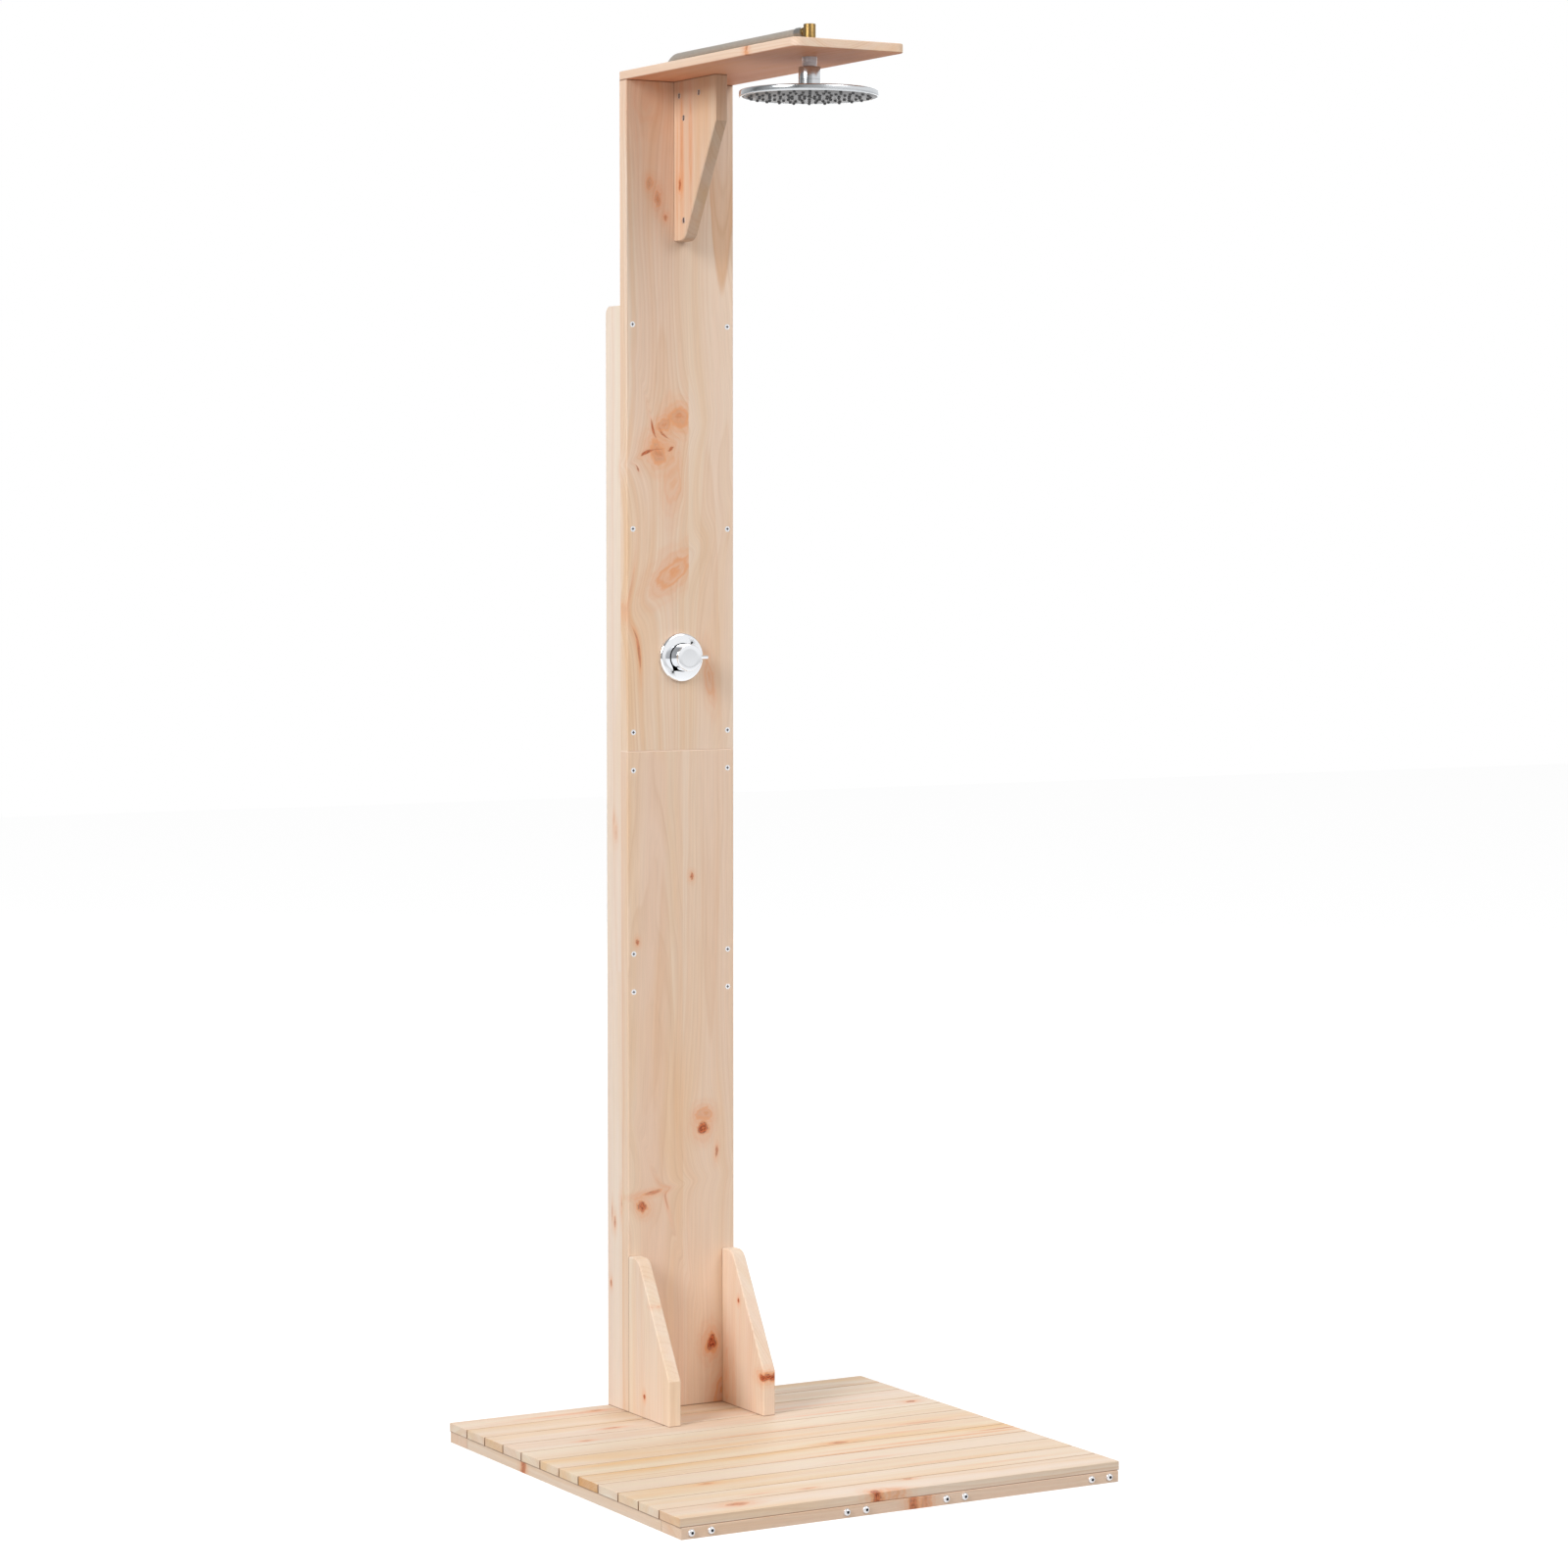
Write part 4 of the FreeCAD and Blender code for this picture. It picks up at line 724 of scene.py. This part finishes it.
barrelNut = {"radius": 5.0, "half": 7.0, "edge": 0.4, "slotDeep": 1.2}
nuts = bmesh.new()
nutY = -rail[2] - frameJoint["railDepth"] - frameJoint["setback"]
nutSpots = [((x, side * nutY, boltZ), down) for x in boltX for side in (-1, 1)]
flush = edgesOf("arm_bracket")[0] + barrelNut["half"]      # the bracket's nuts end at its left face
nutSpots += [((flush, panelFront - reach, arm[4] - bracketSpots["armDrop"]), left)
             for reach in bracketSpots["armReach"]]
nutSpots += [((flush, panelFront - bracketSpots["columnIn"], arm[4] - drop), left)
             for drop in bracketSpots["columnDrop"]]
nutSteps = [(barrelNut["radius"] - barrelNut["edge"], -barrelNut["half"]),
            (barrelNut["radius"], -barrelNut["half"] + barrelNut["edge"]),
            (barrelNut["radius"], barrelNut["half"] - barrelNut["edge"]),
            (barrelNut["radius"] - barrelNut["edge"], barrelNut["half"]),
            (barrelNut["radius"] * 0.75, barrelNut["half"], slit),
            (barrelNut["radius"] * 0.72, barrelNut["half"] - barrelNut["slotDeep"], slit)]
for spot, facing in nutSpots:
    tower(nuts, nutSteps, 24, spot, facing, shaded=1)
zincPiece("barrelNuts", nuts, ["barrel_nuts"])

boardScrew = {"head": 4.5, "shank": 2.25, "long": 50, "across": 79, "armAcross": 60,
              "rows": (1629, 1331.5, 1034, 978, 708, 652)}
screws = bmesh.new()
for z in boardScrew["rows"]:
    for side in (-1, 1):
        addFlatHead(screws, (side * boardScrew["across"], panelFront, z), front, boardScrew)
for side in (-1, 1):
    spot = (side * boardScrew["armAcross"], (panelFront + panelBack) / 2, arm[5])
    addFlatHead(screws, spot, up, boardScrew)
zincPiece("boardScrews", screws, ["board_screws"])

longScrew = {"head": 5, "shank": 2.5, "long": 80, "across": 79, "sunkY": 335, "rows": (89, 199)}
deepScrews = bmesh.new()
footY = [sum(edgesOf(slat)[2:4]) / 2 for slat in ("slat_10", "slat_11", "slat_12")]
for x in (-longScrew["across"], longScrew["across"]):
    for y in footY:
        addFlatHead(deepScrews, (x, y, 0), down, longScrew)
    for z in longScrew["rows"]:
        addFlatHead(deepScrews, (x, longScrew["sunkY"], z), back, longScrew)
zincPiece("longScrews", deepScrews, ["long_screws"])

# one at each end of each slat, driven up through the outer beams
slatScrew = {"head": 3.5, "shank": 1.75, "long": 12, "across": 318, "sunkZ": 0.2}
slatScrews = bmesh.new()
for k in range(1, 13):
    y = sum(edgesOf("slat_%02d" % k)[2:4]) / 2
    for x in (-slatScrew["across"], slatScrew["across"]):
        addFlatHead(slatScrews, (x, y, slatScrew["sunkZ"]), down, slatScrew)
zincPiece("slatScrews", slatScrews)
print("fasteners set")

# Water way through the arm
nippleBox, elbowBox = edgesOf("threaded_nipple"), edgesOf("brass_elbow")
headY = (nippleBox[2] + nippleBox[3]) / 2
thread = {"pitch": 1.814, "crest": 10.4775, "root": 9.32, "bore": 6.5, "sunk": 0.3, "stepsPerTurn": 32}


def threaded(bm, low, high, at, facing=up):
    # a plain core with one helical ridge wound round it
    t = thread
    old = set(bm.verts)
    tower(bm, [(t["bore"], low), (t["root"], low), (t["root"], high), (t["bore"], high), (t["bore"], low)],
          48, caps=hollow)
    turns = int((high - low) / t["pitch"] - 0.6)
    corners = [(t["root"] - t["sunk"], 0), (t["crest"], t["pitch"] * 0.42), (t["crest"], t["pitch"] * 0.58),
               (t["root"] - t["sunk"], t["pitch"])]
    start = [bm.verts.new((r * mm, 0, (low + z) * mm)) for r, z in corners]
    edges = [bm.edges.new(pair) for pair in zip(start, start[1:] + start[:1])]
    count = turns * t["stepsPerTurn"]
    wound = bmesh.ops.spin(bm, geom=start + edges, cent=(0, 0, 0), axis=(0, 0, 1), steps=count,
                           dvec=(0, 0, turns * t["pitch"] * mm / count), angle=turns * 2 * math.pi)
    for loop in (edges, [g for g in wound["geom_last"] if isinstance(g, bmesh.types.BMEdge)]):
        bmesh.ops.contextual_create(bm, geom=loop)
    settle(bm, old, at, facing)


nipple = bmesh.new()
threaded(nipple, nippleBox[4], nippleBox[5], (0, headY, 0))
finished("threadedNipple", nipple, zinc, "stand", ["threaded_nipple"])

lockNut = {"way": 10.6, "chamfer": 13.0, "flat": 13.5, "edge": 0.7, "thick": 6}
lockSteps = [(lockNut["way"], 0), (lockNut["chamfer"], 0), (lockNut["flat"], lockNut["edge"], hexagon),
             (lockNut["flat"], lockNut["thick"] - lockNut["edge"], hexagon),
             (lockNut["chamfer"], lockNut["thick"]), (lockNut["way"], lockNut["thick"]),
             (lockNut["way"], 0)]
turned("lock_nut", lockSteps, 48, (0, headY, edgesOf("lock_nut")[4]), up, headChrome, caps=hollow)

brassElbow = {"radius": 8.5, "foot": 0.4, "edge": 0.8, "mark": 2.0, "boss": 6.0, "bossFrom": 4,
              "bossTo": 11}
elbow = bmesh.new()
low, high = elbowBox[4:6]
elbowSteps = [(brassElbow["radius"] - brassElbow["foot"], low),
              (brassElbow["radius"], low + brassElbow["foot"])]
elbowSteps += eased(brassElbow["radius"], high, brassElbow["edge"])
elbowSteps += [(brassElbow["mark"], high - 0.05)]
tower(elbow, elbowSteps, 48, (0, headY, 0))
hoseZ = sum(edgesOf("upper_tail")[4:6]) / 2
bossSteps = [(brassElbow["boss"], brassElbow["bossFrom"]), (brassElbow["boss"], brassElbow["bossTo"] - 0.4),
             (brassElbow["boss"] - 0.4, brassElbow["bossTo"])]
tower(elbow, bossSteps, 36, (0, headY, hoseZ), back)
finished("brassElbow", elbow, brass, "stand", ["brass_elbow"])
print("water way made")

# Swivel joint
collarNut = {"round": 15.5, "mouth": 9, "inside": 12.6, "way": 10.6, "edge": 1.2, "foot": 0.5, "seat": 17.6,
             "groove": (6.8, 7.9), "grooveDeep": 0.35, "slant": 0.3, "lip": 2}
low, high = edgesOf("collar_nut")[4:6]
grooveLow, grooveHigh = (low + z for z in collarNut["groove"])
collarSteps = [(collarNut["mouth"], low), (collarNut["round"] - collarNut["foot"], low),
               (collarNut["round"], low + collarNut["foot"]), (collarNut["round"], grooveLow),
               (collarNut["round"] - collarNut["grooveDeep"], grooveLow + collarNut["slant"]),
               (collarNut["round"] - collarNut["grooveDeep"], grooveHigh - collarNut["slant"]),
               (collarNut["round"], grooveHigh)]
collarSteps += eased(collarNut["round"], high, collarNut["edge"])
collarSteps += [(collarNut["way"], high), (collarNut["way"], low + collarNut["seat"]),
                (collarNut["inside"], low + collarNut["seat"]),
                (collarNut["inside"], low + collarNut["lip"]), (collarNut["mouth"], low + collarNut["lip"]),
                (collarNut["mouth"], low)]
turned("collar_nut", collarSteps, 72, (0, headY, 0), up, headChrome, caps=hollow)

slipRing = {"way": 6.3, "round": 12.4, "seat": 10.45}
low, high = edgesOf("slip_ring")[4:6]
slipSteps = [(slipRing["way"], low), (slipRing["round"], low), (slipRing["round"], high),
             (slipRing["seat"], high), (slipRing["way"], low)]
turned("slip_ring", slipSteps, 48, (0, headY, 0), up, ivoryPlastic, "swivel", caps=hollow)

# the ball's middle is level with the ring's top
ballStem = {"ball": 8.5, "arc": range(-58, 73, 10), "neck": 4.5, "bore": 2.5, "nut": 9, "nutThick": 4,
            "edge": 0.4}
ballZ, foot = high, edgesOf("ball_stem")[4]
stemSteps = [(ballStem["bore"], foot), (ballStem["nut"] - 0.3, foot),
             (ballStem["nut"], foot + ballStem["edge"]),
             (ballStem["nut"], foot + ballStem["nutThick"] - ballStem["edge"]),
             (ballStem["nut"] - ballStem["edge"], foot + ballStem["nutThick"]),
             (ballStem["neck"], foot + ballStem["nutThick"])]
for a in map(math.radians, ballStem["arc"]):
    stemSteps.append((ballStem["ball"] * math.cos(a), ballZ + ballStem["ball"] * math.sin(a)))
stemSteps += [(ballStem["bore"], stemSteps[-1][1])]
turned("ball_stem", stemSteps, 48, (0, headY, 0), up, headChrome, "head")

# Rain head
headShell = {"radius": 98, "rim": 4, "edge": 3, "rise": 2.7, "flat": 40, "bore": 2.5, "wall": 1.5}
low, high = edgesOf("head_shell")[4:6]
plateEdge = headShell["radius"] - headShell["rim"]
shellSteps = [(plateEdge, low + 0.8), (plateEdge + 0.5, low + 0.2), (headShell["radius"] - 1.2, low),
              (headShell["radius"] - 0.35, low + 0.35), (headShell["radius"], low + 1.2)]
shellSteps += quarter(headShell["radius"], high - headShell["rise"], headShell["edge"], headShell["rise"])
shellSteps += [(headShell["flat"], high - 0.2), (headShell["bore"], high),
               (headShell["bore"], high - headShell["wall"]), (plateEdge, high - headShell["wall"]),
               (plateEdge, low + 0.8)]
turned("head_shell", shellSteps, 144, (0, headY, 0), up, headChrome, "head", hollow, 28)

# the plate has a fine groove near its edge and a dish in the middle
sprayPlate = {"thick": 2.5, "fine": 89, "dish": 4}
plateSteps = [(plateEdge, low + sprayPlate["thick"]), (plateEdge, low + 0.6), (plateEdge - 1, low + 0.3),
              (sprayPlate["fine"], low + 0.1), (sprayPlate["fine"] - 0.7, low + 0.35),
              (sprayPlate["fine"] - 1.4, low), (sprayPlate["dish"], low),
              (sprayPlate["dish"] - 1, low + 0.4), (sprayPlate["dish"] - 2, low)]
turned("spray_plate", plateSteps, 96, (0, headY, 0), up, sprayGrey, "head")

nozzle = {"counts": [6, 12, 12, 18, 24, 24], "pitch": 14, "root": 2.3, "tip": 1.5, "long": 2.5, "way": 0.6}
nozzleSteps = [(nozzle["root"], -0.3), (nozzle["root"], 0.5), (nozzle["tip"] + 0.15, nozzle["long"] - 0.3),
               (nozzle["tip"] - 0.1, nozzle["long"]), (nozzle["way"], nozzle["long"]),
               (nozzle["way"] - 0.1, nozzle["long"] - 0.7)]
nozzles = bmesh.new()
for row, count in enumerate(nozzle["counts"], 1):
    for k in range(count):
        angle = 2 * math.pi * (k + 0.5 * (row % 2)) / count
        spot = (row * nozzle["pitch"] * math.cos(angle), headY + row * nozzle["pitch"] * math.sin(angle), low)
        tower(nozzles, nozzleSteps, 12, spot, down)
finished("nozzles", nozzles, silicone, "head", ["nozzles"])
print("rain head made")

# Hose: over the arm, a quarter bend, down behind the column
hoseBox, ferruleBox, unionBox = edgesOf("hose"), edgesOf("ferrules"), edgesOf("union_nut")
hoseSize = {"radius": 6, "bend": 40, "sides": 24, "bendSteps": 24, "piece": 60}
hoseY = sum(unionBox[2:4]) / 2


def makeHose():
    s = hoseSize
    bm = bmesh.new()
    around = bm.verts.layers.float.new("around")
    along = bm.verts.layers.float.new("along")
    turn = up.rotation_difference(back).to_matrix().to_4x4()
    start = Matrix.Translation((0, hoseBox[2] * mm, hoseZ * mm)) @ turn
    first = bmesh.ops.create_circle(bm, radius=s["radius"] * mm, segments=s["sides"], matrix=start)["verts"]
    for k, vert in enumerate(first):
        vert[around] = k / len(first)
    edges = list(bm.edges)
    centre = Vector((0, hoseY - s["bend"], hoseZ - s["bend"])) * mm
    runs = [("move", back, hoseY - s["bend"] - hoseBox[2]), ("bend", None, s["bend"] * math.pi / 2),
            ("move", down, hoseZ - s["bend"] - hoseBox[4])]
    travelled = 0.0
    for kind, direction, length in runs:
        steps = s["bendSteps"] if kind == "bend" else max(1, round(length / s["piece"]))
        for k in range(steps):
            grown = bmesh.ops.extrude_edge_only(bm, edges=edges)["geom"]
            verts = [g for g in grown if isinstance(g, bmesh.types.BMVert)]
            edges = [g for g in grown if isinstance(g, bmesh.types.BMEdge)]
            edges = [e for e in edges if e.verts[0] in verts and e.verts[1] in verts]
            travelled += length / steps
            if kind == "move":
                bmesh.ops.translate(bm, vec=direction * (length / steps * mm), verts=verts)
            else:
                bmesh.ops.rotate(bm, cent=centre, verts=verts,
                                 matrix=Matrix.Rotation(-math.pi / 2 / steps, 3, "X"))
            for vert in verts:
                vert[along] = travelled * mm
    uv = bm.loops.layers.uv.new("UVMap")
    for face in bm.faces:
        spots = [loop.vert[around] for loop in face.loops]
        wraps = max(spots) - min(spots) > 0.5
        for loop, spot in zip(face.loops, spots):
            loop[uv].uv = (spot + 1 if wraps and spot < 0.5 else spot, loop.vert[along])
    return bm


finished("hose", makeHose(), hoseBraid, "stand", ["hose"], angle=60)

ferrules = bmesh.new()
crimps = [(6.3, 0), (6.9, 0.3), (7, 1.0), (6.7, 3.6), (6.95, 5.2), (6.65, 7.0), (6.95, 8.8), (6.65, 10.6),
          (6.95, 12.4), (6.75, 14.5), (7, 16.8), (6.8, 17.6), (6.1, 18)]
tower(ferrules, crimps, 48, (0, ferruleBox[2], hoseZ), back)
tower(ferrules, crimps, 48, (0, hoseY, ferruleBox[4]), up)
finished("ferrules", ferrules, crimp, "stand", ["ferrules"])

upperTail = {"flat": 6, "chamfer": 5.6, "edge": 0.5, "long": 5}
tailSteps = [(upperTail["chamfer"], 0), (upperTail["flat"], upperTail["edge"], hexagon),
             (upperTail["flat"], upperTail["long"] - upperTail["edge"], hexagon),
             (upperTail["chamfer"], upperTail["long"])]
turned("upper_tail", tailSteps, 48, (0, edgesOf("upper_tail")[2], hoseZ), back, brass)

lowerTail = {"flange": 10.4, "edge": 0.2, "thick": 2, "neck": 5}
low, high = edgesOf("lower_tail")[4:6]
tailSteps = [(lowerTail["flange"] - lowerTail["edge"], 0), (lowerTail["flange"], lowerTail["edge"]),
             (lowerTail["flange"], lowerTail["thick"]), (lowerTail["neck"], lowerTail["thick"]),
             (lowerTail["neck"], high - low)]
turned("lower_tail", tailSteps, 48, (0, hoseY, low), up, satinPlate)

unionNut = {"way": 10.7, "chamfer": 12.0, "flat": 12.5, "edge": 0.8, "flatTo": 13.5, "neck": 5.2,
            "seat": 15, "shoulder": [(11.8, 14.6), (11.0, 16.5), (10.6, 18)]}
unionSteps = [(unionNut["way"], 0), (unionNut["chamfer"], 0), (unionNut["flat"], unionNut["edge"], hexagon),
              (unionNut["flat"], unionNut["flatTo"], hexagon)]
unionSteps += unionNut["shoulder"]
unionSteps += [(unionNut["neck"], unionSteps[-1][1]), (unionNut["neck"], unionNut["seat"]),
               (unionNut["way"], unionNut["seat"]), (unionNut["way"], 0)]
turned("union_nut", unionSteps, 48, (0, hoseY, unionBox[4]), up, chrome, caps=hollow)
print("hose run")

# Valve: body behind the column, cover, cap and stick lever in front
valveZ = sum(edgesOf("escutcheon")[4:6]) / 2
valveSpot = (0, panelFront, valveZ)
valve = {"neck": 17, "flange": 24, "behind": 21.5, "thick": 4, "back": 61, "proud": 4.5, "chamber": 13,
         "seat": 36, "edge": 0.5, "fillet": 1.5}
flangeEnd = valve["behind"] + valve["thick"]
body = bmesh.new()
bodySteps = [(valve["chamber"], -valve["proud"]), (valve["neck"] - valve["edge"], -valve["proud"]),
             (valve["neck"], -valve["proud"] + valve["edge"]), (valve["neck"], valve["behind"]),
             (valve["flange"], valve["behind"]), (valve["flange"], flangeEnd - valve["edge"]),
             (valve["flange"] - valve["edge"], flangeEnd), (valve["neck"] + valve["fillet"], flangeEnd),
             (valve["neck"], flangeEnd + valve["fillet"])]
bodySteps += eased(valve["neck"], valve["back"], 2)
bodySteps += [(0.5, valve["back"])]
chamberSteps = [(valve["chamber"], -valve["proud"]), (valve["chamber"], valve["seat"])]
for steps in (bodySteps, chamberSteps):
    tower(body, steps, 64, valveSpot, back, caps=(False, True))

# its outlet and inlet: a hexagon, then a thread
valvePort = {"flat": 12, "flatFrom": 8, "flatTo": 20, "edge": 0.6, "root": 10.0, "crest": 10.47,
             "threadFrom": 20.2, "turns": 15, "end": 34, "bore": 5.5, "boreFrom": 24}
hexSteps = [(valvePort["flat"], valvePort["flatFrom"], hexagon),
            (valvePort["flat"], valvePort["flatTo"] - valvePort["edge"], hexagon),
            (valvePort["flat"] - valvePort["edge"], valvePort["flatTo"])]
threadSteps = [(valvePort["root"], valvePort["threadFrom"] - 0.4)]
for k in range(valvePort["turns"]):
    ridge = valvePort["root"] if k % 2 else valvePort["crest"]
    threadSteps.append((ridge, valvePort["threadFrom"] + k * thread["pitch"] / 2))
threadSteps += [(valvePort["root"] - 0.4, valvePort["end"] - 0.4),
                (valvePort["root"] - 0.8, valvePort["end"]), (valvePort["bore"], valvePort["end"]),
                (valvePort["bore"], valvePort["boreFrom"])]
for facing in (up, down):
    for steps in (hexSteps, threadSteps):
        tower(body, steps, 48, (0, hoseY, valveZ), facing)
finished("valveBody", body, satinPlate, "stand", ["valve_body"])

escutcheon = {"radius": 36, "foot": 0.3, "deep": 5.5, "hole": 17.1, "lip": 2.0, "dome": 3.5, "step": 0.2}
coverSteps = [(escutcheon["hole"], 0), (escutcheon["radius"] - escutcheon["foot"], 0),
              (escutcheon["radius"], escutcheon["foot"])]
coverSteps += quarter(escutcheon["radius"], escutcheon["lip"], escutcheon["dome"], escutcheon["dome"])
coverSteps += [(escutcheon["hole"] + 4, escutcheon["deep"]),
               (escutcheon["hole"] + 3.5, escutcheon["deep"] - escutcheon["step"]),
               (escutcheon["hole"], escutcheon["deep"] - escutcheon["step"]), (escutcheon["hole"], 0)]
turned("escutcheon", coverSteps, 96, valveSpot, front, chrome, caps=hollow)

# the cap's face is dished a little
valveCap = {"radius": 20, "foot": 0.5, "edge": 1.4, "stem": 5.0, "dishRound": 12, "dish": 0.08}
capFar, capNear = (panelFront - y for y in edgesOf("valve_cap")[2:4])
capSteps = [(valveCap["stem"], capNear), (valveCap["radius"] - valveCap["foot"], capNear),
            (valveCap["radius"], capNear + valveCap["foot"])]
capSteps += quarter(valveCap["radius"], capFar - valveCap["edge"], valveCap["edge"], valveCap["edge"])
capSteps += [(valveCap["dishRound"], capFar - valveCap["dish"]), (1, capFar - valveCap["dish"] - 0.02)]
turned("valve_cap", capSteps, 80, valveSpot, front, chrome, "handle")

lever = {"root": 2.6, "from": 5, "collar": 3.6, "collarFrom": 19.2, "grip": 3.0, "end": 36}
leverY = sum(edgesOf("stick_lever")[2:4]) / 2
leverSteps = [(lever["root"], lever["from"]), (lever["root"], lever["collarFrom"]),
              (lever["collar"], lever["collarFrom"] + 0.4), (lever["collar"], lever["collarFrom"] + 1.4),
              (lever["grip"], lever["collarFrom"] + 1.8), (lever["grip"], lever["end"] - 0.8),
              (lever["grip"] - 0.2, lever["end"] - 0.3), (lever["grip"] - 0.7, lever["end"])]
turned("stick_lever", leverSteps, 36, (0, leverY, valveZ), right, chrome, "handle")

retainer = {"way": 5.1, "round": 12.2, "roundTo": 3.6, "face": 10.5, "thick": 5}
retainerSteps = [(retainer["way"], 0), (retainer["round"], 0), (retainer["round"], retainer["roundTo"]),
                 (retainer["face"], retainer["thick"]), (retainer["way"], retainer["thick"]),
                 (retainer["way"], 0)]
turned("retainer", retainerSteps, 48, (0, panelFront - valve["proud"], valveZ), back, brass,
       caps=hollow)
print("valve made")
